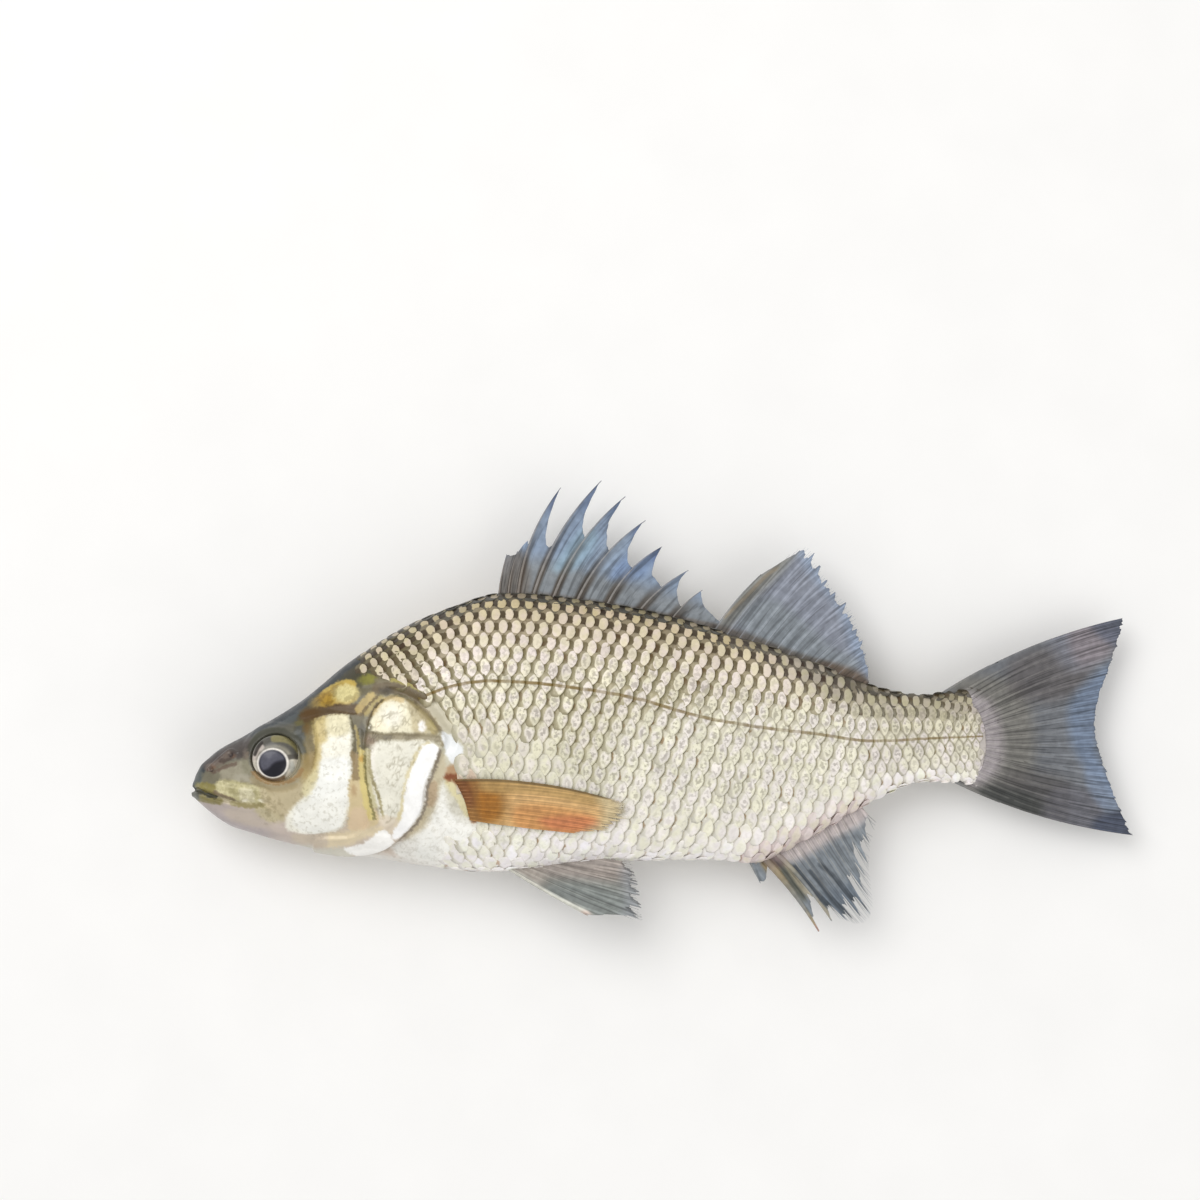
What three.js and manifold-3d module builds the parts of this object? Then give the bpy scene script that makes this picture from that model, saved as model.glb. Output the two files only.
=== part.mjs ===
// A whole raw fish of the perch kind, lying on its right side with its fins spread.
// Millimetres. It is drawn in side view: x runs from the tip of the lower jaw to the tail, y towards
// the back, and z is the height over the table. At the end the group is moved so that its origin lies
// on the table under the middle of its box.

import * as THREE from 'three';
import { mergeVertices } from 'three/addons/utils/BufferGeometryUtils.js';
import Module from 'manifold-3d';

const wasm = await Module();
wasm.setup();

// ---------- driving dimensions ----------

const bodyEnd = 207; // where the scaly tail base stops and the tail fin goes on alone
const flatSpotDepth = 0.9; // how far the weight flattens the lower flank
const widestHalf = 16.6; // half the thickness of the body at its thickest
const restHeight = widestHalf - flatSpotDepth; // the middle plane over the table
const tailDroop = 7; // how far the tail fin sinks below the middle plane
const droopStart = 140; // where the tail begins to sink
const finSag = 0.0016; // sag of a spread fin per square millimetre of its reach
const finRoot = 3; // how deep the fins are rooted in the flesh
const membraneHalf = 0.28; // half the thickness of a fin between its rays
const webSpread = 0.8; // how near the last column of a web comes to the ray behind it
const eyeGap = 0.3; // round each eye, in its socket
const sliver = 0.01; // faces thinner than this, which the joins leave, are merged into their neighbours

const sides = 34; // facets round the body
const headStep = 1.9; // between the rings of the head
const trunkStep = 5.6; // between the rings behind it
const headEnd = 69;

// ---------- lines of the body, in side view ----------

const backLine = smooth([
  [0, 1.6], [0.5, 3.8], [2, 7], [5, 9.8], [15, 15], [30, 22.8], [42, 31.2], [55, 38.3],
  [70, 43.6], [82, 46], [100, 43.5], [125, 37], [145, 29.5], [165, 20.6], [175, 15.6], [185, 13],
  [192, 12.2], [199, 12.6], [203, 11.5], [205.5, 8], [bodyEnd, 3],
]);
const bellyLine = smooth([
  [0, 0.2], [2, -2], [8, -7.3], [15, -10.4], [30, -15.4], [45, -18.8], [60, -22.3], [78, -24.7],
  [100, -24.2], [120, -24.9], [134, -26], [142, -27.2], [150, -24.7], [170, -15.3], [180, -11],
  [190, -9.8], [199, -11], [203, -11.2], [205.5, -8.5], [bodyEnd, -4],
]);
const halfWidth = smooth([
  [0, 1], [1.5, 3.6], [5, 5.9], [12, 8.4], [22, 10.7], [35, 13.6], [50, 15.6], [65, 16.4],
  [80, widestHalf], [100, 15.9], [120, 14.1], [140, 11.4], [160, 8.3], [180, 5.6], [192, 4],
  [199, 2.7], [203, 1.8], [bodyEnd, 0.7],
]);
const widestAt = smooth([[0, 0.9], [20, 3.5], [45, 4.5], [80, 8], [120, 6], [160, 3], [bodyEnd, 0.5]]);
const backFullness = smooth([[0, 2], [12, 2.3], [30, 2.3], [60, 1.95], [90, 1.8], [150, 1.9], [bodyEnd, 2]]);
const bellyFullness = smooth([[0, 2], [20, 2.1], [60, 2.2], [90, 2.35], [140, 2.1], [bodyEnd, 2]]);

// ---------- lines of the head ----------

const cheekOutline = ring([
  [41.5, 18.3], [42.9, 12], [41.8, 5], [40.1, -4], [38.6, -9.2], [34, -11], [26, -10.9], [20, -8],
  [24, -2], [31, 4], [33.3, 11], [33.6, 17.6],
]);
const gillCoverOutline = ring([
  [46, 13], [49.5, 20], [55, 22], [61, 17.5], [64.6, 12.8], [66.2, 10.6], [63.2, 5], [60, -1],
  [58.5, -7], [54.5, -12], [48.5, -16.3], [40, -17.5], [30, -15.6], [31, -12.5], [41, -12],
  [45, -8], [45.2, 2],
]);
const mouthLine = [[-1, 1.8], [1.5, 1.9], [5, 0.3], [10, -1.5], [15, -2.7], [19.5, -2.4]];
const upperJawLine = [[4, 2.6], [10, 0.9], [18.5, -0.6]];
const nostrils = [[10.9, 10.2], [5.6, 6.8]];
const eyeSocket = { x: 22.6, y: 8.6, long: 6.2, high: 5.9, deep: 2.7, sunk: 1.1 };

// ---------- materials ----------

const skin = new THREE.MeshStandardMaterial({ color: 0xb9b39c, roughness: 0.38, metalness: 0.15 });
const eye = new THREE.MeshStandardMaterial({ color: 0x23262f, roughness: 0.08, metalness: 0 });

// ---------- plain curves ----------

// A smooth function through [x, y] knots, level beyond both ends, that doesn't overshoot.
function smooth(knots) {
  const rise = (i) => (knots[i + 1][1] - knots[i][1]) / (knots[i + 1][0] - knots[i][0]);
  const last = knots.length - 1;
  const slopes = knots.map((knot, i) => {
    if (i === 0) return rise(0);
    if (i === last) return rise(last - 1);
    const before = knots[i][0] - knots[i - 1][0];
    const after = knots[i + 1][0] - knots[i][0];
    const slope = (after * rise(i - 1) + before * rise(i)) / (before + after);
    const steepest = 3 * Math.min(Math.abs(rise(i - 1)), Math.abs(rise(i)));
    return rise(i - 1) * rise(i) <= 0 ? 0 : Math.sign(slope) * Math.min(Math.abs(slope), steepest);
  });
  return (x) => {
    if (x <= knots[0][0]) return knots[0][1];
    if (x >= knots[last][0]) return knots[last][1];
    let i = 0;
    while (x > knots[i + 1][0]) i += 1;
    const span = knots[i + 1][0] - knots[i][0];
    const t = (x - knots[i][0]) / span;
    const held = knots[i][1] * (1 + 2 * t) * (1 - t) ** 2 + knots[i + 1][1] * t * t * (3 - 2 * t);
    return held + span * (slopes[i] * t * (1 - t) ** 2 - slopes[i + 1] * t * t * (1 - t));
  };
}

// A closed smooth outline through a few knots, as short straight pieces.
function ring(knots) {
  const points = knots.map(([x, y]) => new THREE.Vector3(x, y, 0));
  const curve = new THREE.CatmullRomCurve3(points, true, 'centripetal');
  return curve.getPoints(knots.length * 5).map((p) => [p.x, p.y]);
}

function ramp(low, high, value) {
  const t = THREE.MathUtils.clamp((value - low) / (high - low), 0, 1);
  return t * t * (3 - 2 * t);
}

function mix(a, b, t) {
  return a.map((value, i) => value + (b[i] - value) * t);
}

function distanceTo(line, x, y) {
  let nearest = Infinity;
  for (let i = 0; i + 1 < line.length; i += 1) {
    const [ax, ay] = line[i];
    const [dx, dy] = [line[i + 1][0] - ax, line[i + 1][1] - ay];
    const along = dx * dx + dy * dy > 0 ? ((x - ax) * dx + (y - ay) * dy) / (dx * dx + dy * dy) : 0;
    const t = THREE.MathUtils.clamp(along, 0, 1);
    nearest = Math.min(nearest, Math.hypot(x - ax - t * dx, y - ay - t * dy));
  }
  return nearest;
}

// How far a point lies inside a closed outline, below zero outside it.
function depthInside(outline, x, y) {
  let inside = false;
  for (let i = 0; i + 1 < outline.length; i += 1) {
    const [ax, ay] = outline[i];
    const [bx, by] = outline[i + 1];
    if (ay > y !== by > y && x < ax + ((y - ay) * (bx - ax)) / (by - ay)) inside = !inside;
  }
  return (inside ? 1 : -1) * distanceTo(outline, x, y);
}

// ---------- the body ----------

function middleHeight(x) {
  const t = Math.max(0, (x - droopStart) / (240 - droopStart));
  return restHeight - tailDroop * t * t;
}

// A point of the plain body. The angle is 0 on the upturned flank, 90 degrees on the back.
function bodyPoint(x, angle) {
  const up = Math.sin(angle);
  const out = Math.cos(angle);
  const fullness = up > 0 ? backFullness(x) : bellyFullness(x);
  const reach = Math.abs((up > 0 ? backLine(x) : bellyLine(x)) - widestAt(x));
  const y = widestAt(x) + Math.sign(up) * reach * Math.abs(up) ** (2 / fullness);
  const z = Math.sign(out) * halfWidth(x) * Math.abs(out) ** (2 / fullness);
  return new THREE.Vector3(x, y, middleHeight(x) + z);
}

// The height of the upturned flank at a point of the side view, over the middle plane.
function flankHeight(x, y) {
  const above = y > widestAt(x);
  const fullness = above ? backFullness(x) : bellyFullness(x);
  const reach = (above ? backLine(x) : bellyLine(x)) - widestAt(x);
  const share = Math.min(1, Math.abs((y - widestAt(x)) / reach));
  return halfWidth(x) * (1 - share ** fullness) ** (1 / fullness);
}

// What stands proud of the plain body, or is sunk into it: cheek, gill cover, jaws, eye rims, nostrils.
function relief(x, y) {
  if (x > headEnd + 8) return 0;
  const cheek = 0.55 * ramp(-0.8, 1.2, depthInside(cheekOutline, x, y)) * ramp(22, 34, x);
  const cover = depthInside(gillCoverOutline, x, y);
  const gillCover = 0.95 * ramp(-0.5, 1, cover) - 0.5 * ramp(-3.5, -0.8, cover) * ramp(0.2, -0.8, cover) * ramp(46, 52, x);
  const mouth = -0.9 * ramp(1.3, 0.2, distanceTo(mouthLine, x, y));
  const upperJaw = 0.45 * ramp(2.6, 0.6, distanceTo(upperJawLine, x, y));
  const fromEye = Math.hypot((x - eyeSocket.x) / eyeSocket.long, (y - eyeSocket.y) / eyeSocket.high);
  const eyeRim = 0.5 * ramp(1.5, 1.15, fromEye);
  let total = cheek + gillCover + mouth + upperJaw + eyeRim;
  for (const [noseX, noseY] of nostrils) total -= 0.6 * ramp(1.4, 0.3, Math.hypot(x - noseX, y - noseY));
  return total;
}

function bodyGeometry() {
  const stations = [0, 0.35, 0.9, 1.7, 2.7, 4];
  while (stations.at(-1) < headEnd) stations.push(stations.at(-1) + headStep);
  const steps = Math.round((bodyEnd - 8 - stations.at(-1)) / trunkStep);
  const trunkStart = stations.at(-1);
  for (let i = 1; i <= steps; i += 1) stations.push(trunkStart + ((bodyEnd - 8 - trunkStart) * i) / steps);
  stations.push(bodyEnd - 5.5, bodyEnd - 3, bodyEnd - 1, bodyEnd);

  const points = [];
  for (const x of stations) {
    for (let j = 0; j < sides; j += 1) {
      const angle = ((j + 0.5) / sides) * 2 * Math.PI;
      const step = 0.02;
      const along = bodyPoint(x + 0.2, angle).sub(bodyPoint(Math.max(x - 0.2, 0), angle));
      const round = bodyPoint(x, angle + step).sub(bodyPoint(x, angle - step));
      const outward = along.cross(round).normalize();
      const point = bodyPoint(x, angle);
      points.push(point.addScaledVector(outward, relief(point.x, point.y)));
    }
  }
  const corners = [];
  const last = stations.length - 1;
  for (let i = 0; i < last; i += 1) {
    for (let j = 0; j < sides; j += 1) {
      const next = (j + 1) % sides;
      const [a, b] = [i * sides + j, i * sides + next];
      corners.push(a, a + sides, b + sides, a, b + sides, b);
    }
  }
  for (const [start, tip] of [[0, [-0.05, 0.9]], [last * sides, [bodyEnd + 0.3, 0]]]) {
    points.push(new THREE.Vector3(tip[0], tip[1], middleHeight(tip[0])));
    for (let j = 0; j < sides; j += 1) {
      const [a, b] = [start + j, start + ((j + 1) % sides)];
      corners.push(...(start === 0 ? [points.length - 1, a, b] : [points.length - 1, b, a]));
    }
  }
  return closedGeometry(points, corners);
}

// ---------- fins ----------

// A ray from its root to its tip, bowed forwards by a few millimetres at its middle. A stiff one is a
// spine, which gets a round back of its own in the mesh.
function ray(root, tip, bow, thickness, stiff = false) {
  const [dx, dy] = [tip[0] - root[0], tip[1] - root[1]];
  const length = Math.hypot(dx, dy);
  const at = (v) => {
    const swell = 4 * bow * v * (1 - v);
    const [x, y] = mix(root, tip, v);
    return [x - (dy / length) * swell, y + (dx / length) * swell];
  };
  return { at, root, tip, thickness, stiff };
}

// The columns of a fin's mesh: one for each soft ray, three for each spine, and webs between two rays.
// A web ends short of the tips: it is notched by the cut, a share of the ray before it, and meets the
// ray behind it at the hold, a share of that ray from its root.
function finColumns(rays, { cut, hold, webs }) {
  const columns = [];
  const edge = (v) => membraneHalf * (1 - 0.3 * v);
  const downwards = rays[0].tip[1] < rays[0].root[1];
  const forwards = downwards ? 1 : -1;
  rays.forEach((one, i) => {
    if (one.stiff) columns.push({ at: besideRay(one, forwards), half: edge });
    columns.push({ at: one.at, half: (v) => membraneHalf + one.thickness * (1 - 0.75 * v) });
    if (one.stiff) columns.push({ at: besideRay(one, -forwards), half: edge });
    const next = rays[i + 1];
    if (!next) return;
    const before = one.stiff ? besideRay(one, -forwards) : one.at;
    const behind = next.stiff ? besideRay(next, forwards) : next.at;
    const notch = THREE.MathUtils.lerp(1 - cut(i), hold(i + 1), 0.35);
    for (let k = 1; k <= webs; k += 1) {
      const t = (webSpread * k) / (webs + 1);
      const reach = (1 - t) ** 2 + 2 * t * (1 - t) * notch + t * t * hold(i + 1);
      columns.push({ at: (v) => mix(before(v * reach), behind(v * reach), t), half: edge });
    }
  });
  return columns;
}

// A line beside a ray, its half width to the left or right of it, that narrows towards the tip.
function besideRay(one, side) {
  return (v) => {
    const [x, y] = one.at(v);
    const [ahead, back] = [one.at(Math.min(v + 0.01, 1)), one.at(Math.max(v - 0.01, 0))];
    const [dx, dy] = [ahead[0] - back[0], ahead[1] - back[1]];
    const width = (side * (one.thickness + 0.25) * (1 - 0.8 * v)) / Math.hypot(dx, dy);
    return [x + dy * width, y - dx * width];
  };
}

// A thin closed blade over columns from root to rim. The middle gives its height over the table.
function bladeGeometry(columns, steps, middle, thicken = () => [1, 1]) {
  const points = [];
  const rows = steps + 1;
  for (const up of [1, -1]) {
    columns.forEach((column, k) => {
      for (let m = 0; m < rows; m += 1) {
        const v = m / steps;
        const [x, y] = column.at(v);
        const [top, bottom] = thicken(v);
        const half = column.half(v) * (up > 0 ? top : bottom);
        points.push(new THREE.Vector3(x, y, middle(x, y, v, k / (columns.length - 1)) + up * half));
      }
    });
  }
  const under = columns.length * rows;
  const corners = [];
  for (let k = 0; k + 1 < columns.length; k += 1) {
    for (let m = 0; m < steps; m += 1) {
      const [a, b, c, d] = [k * rows + m, (k + 1) * rows + m, (k + 1) * rows + m + 1, k * rows + m + 1];
      const split = bestSplit(points, a, b, c, d);
      for (const [p, q, r] of split) corners.push(p, q, r, under + p, under + r, under + q);
    }
  }
  const rim = [];
  for (let k = 0; k < columns.length; k += 1) rim.push(k * rows);
  for (let m = 1; m < rows; m += 1) rim.push((columns.length - 1) * rows + m);
  for (let k = columns.length - 2; k >= 0; k -= 1) rim.push(k * rows + steps);
  for (let m = steps - 1; m >= 1; m -= 1) rim.push(m);
  rim.forEach((a, i) => {
    const b = rim[(i + 1) % rim.length];
    corners.push(a, under + a, under + b, a, under + b, b);
  });
  return closedGeometry(points, corners);
}

// The two triangles of a quad, split so that neither turns over.
function bestSplit(points, a, b, c, d) {
  const area = ([p, q, r]) => {
    const [P, Q, R] = [points[p], points[q], points[r]];
    return (Q.x - P.x) * (R.y - P.y) - (Q.y - P.y) * (R.x - P.x);
  };
  const choices = [[[a, b, c], [a, c, d]], [[a, b, d], [b, c, d]]];
  const worst = (pair) => Math.min(...pair.map((one) => area(one) * turn));
  const turn = Math.sign(choices[0].reduce((sum, one) => sum + area(one), 0)) || 1;
  return worst(choices[0]) >= worst(choices[1]) ? choices[0] : choices[1];
}

// A fin's middle plane: level with the body's, sagging and waving a little towards the rim.
function spreadFin(sagFrom, wave) {
  return (x, y, v, share) => {
    const reach = Math.max(0, Math.abs(y) - sagFrom);
    return middleHeight(x) - finSag * reach * reach + wave * v * Math.sin(share * 23);
  };
}

function evenRays(count, rootLine, tipLine, bowLine, thickness) {
  const rays = [];
  for (let i = 0; i < count; i += 1) {
    const s = i / (count - 1);
    const root = [rootLine[0](s), rootLine[1](s)];
    const tip = [tipLine[0](s), tipLine[1](s)];
    rays.push(ray(root, tip, bowLine(s), thickness(s)));
  }
  return rays;
}

function lineThrough(rows) {
  return [1, 2].map((axis) => smooth(rows.map((row) => [row[0], row[axis]])));
}

// The first dorsal fin: nine spines, root, tip, bow and stoutness, and how the web before each holds on.
const spines = [
  { root: [82, 46], tip: [84.5, 56], bow: 0.4, stout: 0.45, hold: 1 },
  { root: [84.4, 46], tip: [87.3, 56.6], bow: 0.6, stout: 0.5, hold: 0.97 },
  { root: [86.8, 46], tip: [99.5, 72], bow: 1.2, stout: 0.7, hold: 0.45 },
  { root: [90.2, 45.5], tip: [110, 73], bow: 2.1, stout: 0.8, hold: 0.46 },
  { root: [95.2, 44.8], tip: [115.8, 68.5], bow: 2, stout: 0.8, hold: 0.6 },
  { root: [101, 43.6], tip: [120.5, 62], bow: 1.7, stout: 0.75, hold: 0.62 },
  { root: [108.5, 41.8], tip: [124.2, 55], bow: 1.8, stout: 0.7, hold: 0.62 },
  { root: [116, 39.9], tip: [130.5, 48.5], bow: 0.9, stout: 0.6, hold: 0.6 },
  { root: [124.5, 37.6], tip: [133.7, 43.2], bow: 0.5, stout: 0.5, hold: 0.5 },
  { root: [135.5, 34], tip: [138.2, 35], bow: 0, stout: 0.1, hold: 0.9 },
];

function firstDorsal() {
  const rays = spines.map((one) => ray([one.root[0] - 0.6, one.root[1] - finRoot], one.tip, one.bow, one.stout, true));
  const columns = finColumns(rays, { cut: (i) => (i < 2 ? 0.05 : 0.45), hold: (i) => spines[i].hold, webs: 2 });
  return bladeGeometry(columns, 6, spreadFin(44, 0.25));
}

function secondDorsal() {
  const roots = lineThrough([[0, 136, 32.5], [0.5, 153, 23.5], [1, 171, 14.5]]);
  const tips = lineThrough([
    [0, 149, 46.2], [0.09, 161, 52.6], [0.22, 164, 49], [0.36, 167, 43], [0.5, 170.2, 37.5],
    [0.65, 172.8, 31.5], [0.8, 174.3, 25.5], [0.92, 174.8, 20.5], [1, 174.9, 16.5],
  ]);
  const bow = smooth([[0, 0.6], [0.4, 1], [1, 0.3]]);
  const rays = evenRays(13, roots, tips, bow, (s) => (s === 0 ? 0.45 : 0.24));
  return bladeGeometry(finColumns(rays, { cut: () => 0.1, hold: () => 0.92, webs: 1 }), 5, spreadFin(30, 0.3));
}

function analFin() {
  const spined = [
    ray([140, -25], [143, -32.6], 0, 0.4, true),
    ray([143, -24.5], [157, -46], 0.9, 0.9, true),
    ray([146, -23.5], [160.5, -43.6], 0.9, 0.75, true),
  ];
  const roots = lineThrough([[0, 149, -22.5], [0.5, 159, -17.5], [1, 169, -13]]);
  const tips = lineThrough([
    [0, 165, -44.6], [0.15, 168, -46], [0.3, 170.3, -45], [0.45, 171.3, -41], [0.6, 171.4, -36],
    [0.75, 171.3, -30.5], [0.88, 172.2, -25], [1, 174, -19.6],
  ]);
  const soft = evenRays(9, roots, tips, smooth([[0, -0.8], [1, -0.4]]), () => 0.26);
  const rays = [...spined, ...soft];
  const cuts = [0.85, 0.3, 0.2, 0.12, 0.3, 0.2, 0.42, 0.25, 0.5, 0.3, 0.4];
  return bladeGeometry(
    finColumns(rays, { cut: (i) => cuts[i], hold: (i) => 1 - 0.9 * cuts[i - 1], webs: 1 }), 6, spreadFin(24, 0.3));
}

function pelvicFin(side) {
  const roots = lineThrough([[0, 76.5, -22], [0.5, 78.5, -20.5], [1, 81.5, -19.5]]);
  const tips = lineThrough([
    [0, 98.5, -37.3], [0.16, 113, -39.8], [0.4, 112.7, -35], [0.65, 113, -31], [0.85, 112.2, -28], [1, 110.8, -24.8],
  ]);
  const rays = evenRays(7, roots, tips, smooth([[0, -0.3], [0.3, -0.6], [1, 0.5]]), (s) => (s === 0 ? 0.6 : 0.28));
  const middle = (x, y, v, share) => middleHeight(x) + side * (3.6 + 2.6 * v + 0.3 * v * Math.sin(share * 17));
  return bladeGeometry(finColumns(rays, { cut: () => 0.1, hold: () => 0.93, webs: 1 }), 5, middle);
}

function pectoralFin(side) {
  const roots = lineThrough([[0, 67.5, 0], [0.5, 69.5, -5], [1, 70.5, -10.3]]);
  const tips = lineThrough([[0, 110, -9.2], [0.35, 112, -11.2], [0.65, 109.5, -14.3], [0.85, 105, -16], [1, 98, -16]]);
  const rays = evenRays(12, roots, tips, smooth([[0, 2.6], [0.6, 0.9], [1, -0.2]]), (s) => (s === 0 ? 0.3 : 0.2));
  const columns = finColumns(rays, { cut: () => 0.05, hold: () => 0.96, webs: 1 });
  const middle = (x, y, v) => middleHeight(x) + side * (flankHeight(x, y) + 0.5 - 0.15 * v);
  const thicken = () => (side > 0 ? [1, 5] : [5, 1]);
  return bladeGeometry(columns, 6, middle, thicken);
}

function tailFin() {
  const roots = lineThrough([[0, 191, -8.2], [0.15, 200, -8.4], [0.5, 203.5, 0], [0.85, 200, 8.8], [1, 190, 10.6]]);
  const tips = lineThrough([
    [0, 238.4, -27], [0.08, 237.6, -25], [0.25, 234.2, -16], [0.4, 231.6, -6.5], [0.5, 230.6, 0],
    [0.6, 231.6, 6.5], [0.75, 235.6, 15.5], [0.92, 239.3, 25], [1, 240, 27.6],
  ]);
  const bow = smooth([[0, -2.4], [0.3, -0.8], [0.5, 0], [0.7, 0.8], [1, 2.6]]);
  const rays = evenRays(19, roots, tips, bow, (s) => (s === 0 || s === 1 ? 0.5 : 0.3));
  return bladeGeometry(finColumns(rays, { cut: () => 0.03, hold: () => 0.97, webs: 1 }), 6, spreadFin(30, 0.35));
}

// ---------- joining and cutting ----------

// One closed mesh with its faces outwards, from points and corner numbers.
function closedGeometry(points, corners) {
  const geometry = new THREE.BufferGeometry();
  geometry.setAttribute('position', new THREE.Float32BufferAttribute(points.flatMap((p) => p.toArray()), 3));
  geometry.setIndex(signedVolume(points, corners) > 0 ? corners : [...corners].reverse());
  return geometry;
}

function signedVolume(points, corners) {
  let sum = 0;
  for (let i = 0; i < corners.length; i += 3) {
    const [a, b, c] = [0, 1, 2].map((k) => points[corners[i + k]]);
    sum += a.dot(b.clone().cross(c));
  }
  return sum / 6;
}

function toSolid(geometry) {
  const bare = geometry.clone();
  bare.deleteAttribute('normal');
  bare.deleteAttribute('uv');
  const merged = mergeVertices(bare, 1e-4);
  const mesh = new wasm.Mesh({
    numProp: 3,
    vertProperties: Float32Array.from(merged.attributes.position.array),
    triVerts: Uint32Array.from(merged.index.array),
  });
  return new wasm.Manifold(mesh);
}

function toGeometry(solid) {
  const mesh = solid.getMesh();
  const points = [];
  for (let i = 0; i < mesh.vertProperties.length; i += 3) {
    points.push(new THREE.Vector3(...mesh.vertProperties.slice(i, i + 3)));
  }
  const faces = [];
  for (let i = 0; i < mesh.triVerts.length; i += 3) faces.push([...mesh.triVerts.slice(i, i + 3)]);
  const geometry = closedGeometry(points, withoutSlivers(points, faces).flat());
  geometry.computeVertexNormals();
  return geometry;
}

// Joins leave very thin faces. One after another, such a face's short side is closed up, or else its
// long side is turned to run between the corners on both sides of it.
function withoutSlivers(points, faces) {
  const stuck = new Set();
  for (;;) {
    const facing = new Map();
    for (const [a, b, c] of faces) {
      facing.set(`${a} ${b}`, c);
      facing.set(`${b} ${c}`, a);
      facing.set(`${c} ${a}`, b);
    }
    const thin = faces.find((face) => !stuck.has(face.join()) && thickness(points, face) < sliver);
    if (!thin) return faces;
    const [a, b, c] = longSideFirst(points, thin);
    const nearer = points[c].distanceTo(points[a]) < points[c].distanceTo(points[b]) ? a : b;
    const short = points[c].distanceTo(points[nearer]) < 3 * sliver;
    const mended = short ? closeSide(points, faces, c, nearer) : turnSide(points, faces, facing, [a, b, c]);
    if (mended) faces = mended;
    else stuck.add(thin.join());
  }
}

function thickness(points, face) {
  const [a, b, c] = longSideFirst(points, face).map((corner) => points[corner]);
  const along = b.clone().sub(a);
  return c.clone().sub(a).cross(along).length() / along.length();
}

function longSideFirst(points, [a, b, c]) {
  const turns = [[a, b, c], [b, c, a], [c, a, b]];
  const length = ([from, to]) => points[from].distanceTo(points[to]);
  return turns.reduce((best, turned) => (length(turned) > length(best) ? turned : best));
}

function facesWay(points, face) {
  const [a, b, c] = face.map((corner) => points[corner]);
  return b.clone().sub(a).cross(c.clone().sub(a));
}

// The faces with one corner moved into another, or nothing where that would fold the surface.
function closeSide(points, faces, from, to) {
  const around = (corner) => new Set(faces.filter((face) => face.includes(corner)).flat());
  const shared = [...around(from)].filter((corner) => around(to).has(corner));
  if (shared.length !== 4) return null;
  const kept = faces.filter((face) => !(face.includes(from) && face.includes(to)));
  const moved = kept.map((face) => face.map((corner) => (corner === from ? to : corner)));
  const folds = moved.some((face, i) => {
    const changed = kept[i].includes(from) && thickness(points, kept[i]) > sliver;
    return changed && facesWay(points, face).dot(facesWay(points, kept[i])) <= 0;
  });
  return folds ? null : moved;
}

// The faces with the side a-b turned, or nothing where that makes them no better.
function turnSide(points, faces, facing, [a, b, c]) {
  const d = facing.get(`${b} ${a}`);
  if (facing.has(`${c} ${d}`) || facing.has(`${d} ${c}`)) return null;
  const isOld = (face) => face.includes(a) && face.includes(b);
  const turned = [[a, d, c], [d, b, c]];
  const old = Math.min(...faces.filter(isOld).map((face) => thickness(points, face)));
  if (turned.some((face) => thickness(points, face) <= old)) return null;
  return [...faces.filter((face) => !isOld(face)), ...turned];
}

// An eye, or with more room the socket that it lies in: a flat ball let into the side of the head.
function eyeBall(side, room) {
  const { x, y, long, high, deep, sunk } = eyeSocket;
  const geometry = new THREE.SphereGeometry(1, 18, 12);
  geometry.scale(long + room, high + room, deep + room);
  return geometry.translate(x, y, middleHeight(x) + side * (flankHeight(x, y) - sunk));
}

function tableBlock() {
  const [length, depth, height] = [400, 200, 40];
  return new THREE.BoxGeometry(length, depth, height).translate(length / 4, 0, -height / 2);
}

function wholeFish() {
  let solid = toSolid(bodyGeometry());
  const fins = [
    firstDorsal(), secondDorsal(), analFin(), tailFin(),
    pelvicFin(1), pelvicFin(-1), pectoralFin(1), pectoralFin(-1),
  ];
  for (const fin of fins) solid = solid.add(toSolid(fin));
  for (const side of [1, -1]) solid = solid.subtract(toSolid(eyeBall(side, eyeGap)));
  return toGeometry(solid.subtract(toSolid(tableBlock())));
}

// ---------- the group ----------

const fish = new THREE.Group();

function piece(name, geometry, material) {
  const mesh = new THREE.Mesh(geometry, material);
  mesh.name = name;
  fish.add(mesh);
}

piece('fish', wholeFish(), skin);
piece('eye_left', eyeBall(1, 0), eye);
piece('eye_right', eyeBall(-1, 0), eye);

const box = new THREE.Box3().setFromObject(fish);
const middle = box.getCenter(new THREE.Vector3());
fish.position.set(-middle.x, -middle.y, -box.min.z);

export default fish;
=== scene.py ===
import math
from functools import partial

import bpy
import numpy as np
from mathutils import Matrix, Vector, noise


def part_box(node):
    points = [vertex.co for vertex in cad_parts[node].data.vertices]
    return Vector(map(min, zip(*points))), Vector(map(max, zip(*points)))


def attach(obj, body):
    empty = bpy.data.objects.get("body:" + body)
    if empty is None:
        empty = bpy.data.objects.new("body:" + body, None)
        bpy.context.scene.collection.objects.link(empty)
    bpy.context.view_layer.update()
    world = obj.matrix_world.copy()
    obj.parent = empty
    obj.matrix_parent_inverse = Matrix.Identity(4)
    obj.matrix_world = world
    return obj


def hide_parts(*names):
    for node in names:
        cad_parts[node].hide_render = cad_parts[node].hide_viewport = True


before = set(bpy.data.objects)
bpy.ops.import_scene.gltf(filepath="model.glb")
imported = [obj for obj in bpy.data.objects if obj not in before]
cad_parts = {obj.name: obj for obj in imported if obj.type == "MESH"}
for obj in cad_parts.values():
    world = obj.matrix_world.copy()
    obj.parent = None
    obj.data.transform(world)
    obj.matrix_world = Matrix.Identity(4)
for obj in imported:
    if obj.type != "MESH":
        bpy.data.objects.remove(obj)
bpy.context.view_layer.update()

# The fish is drawn in side view, in millimetres: x from the lower jaw to the tail, y to the back and
# z over the table. toRow moves a drawn point into the row frame, in metres.
drawnLow = np.array([-0.05, -46.098, 0])
toOrigin = np.array(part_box("fish")[0]) * 1000 - drawnLow


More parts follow.
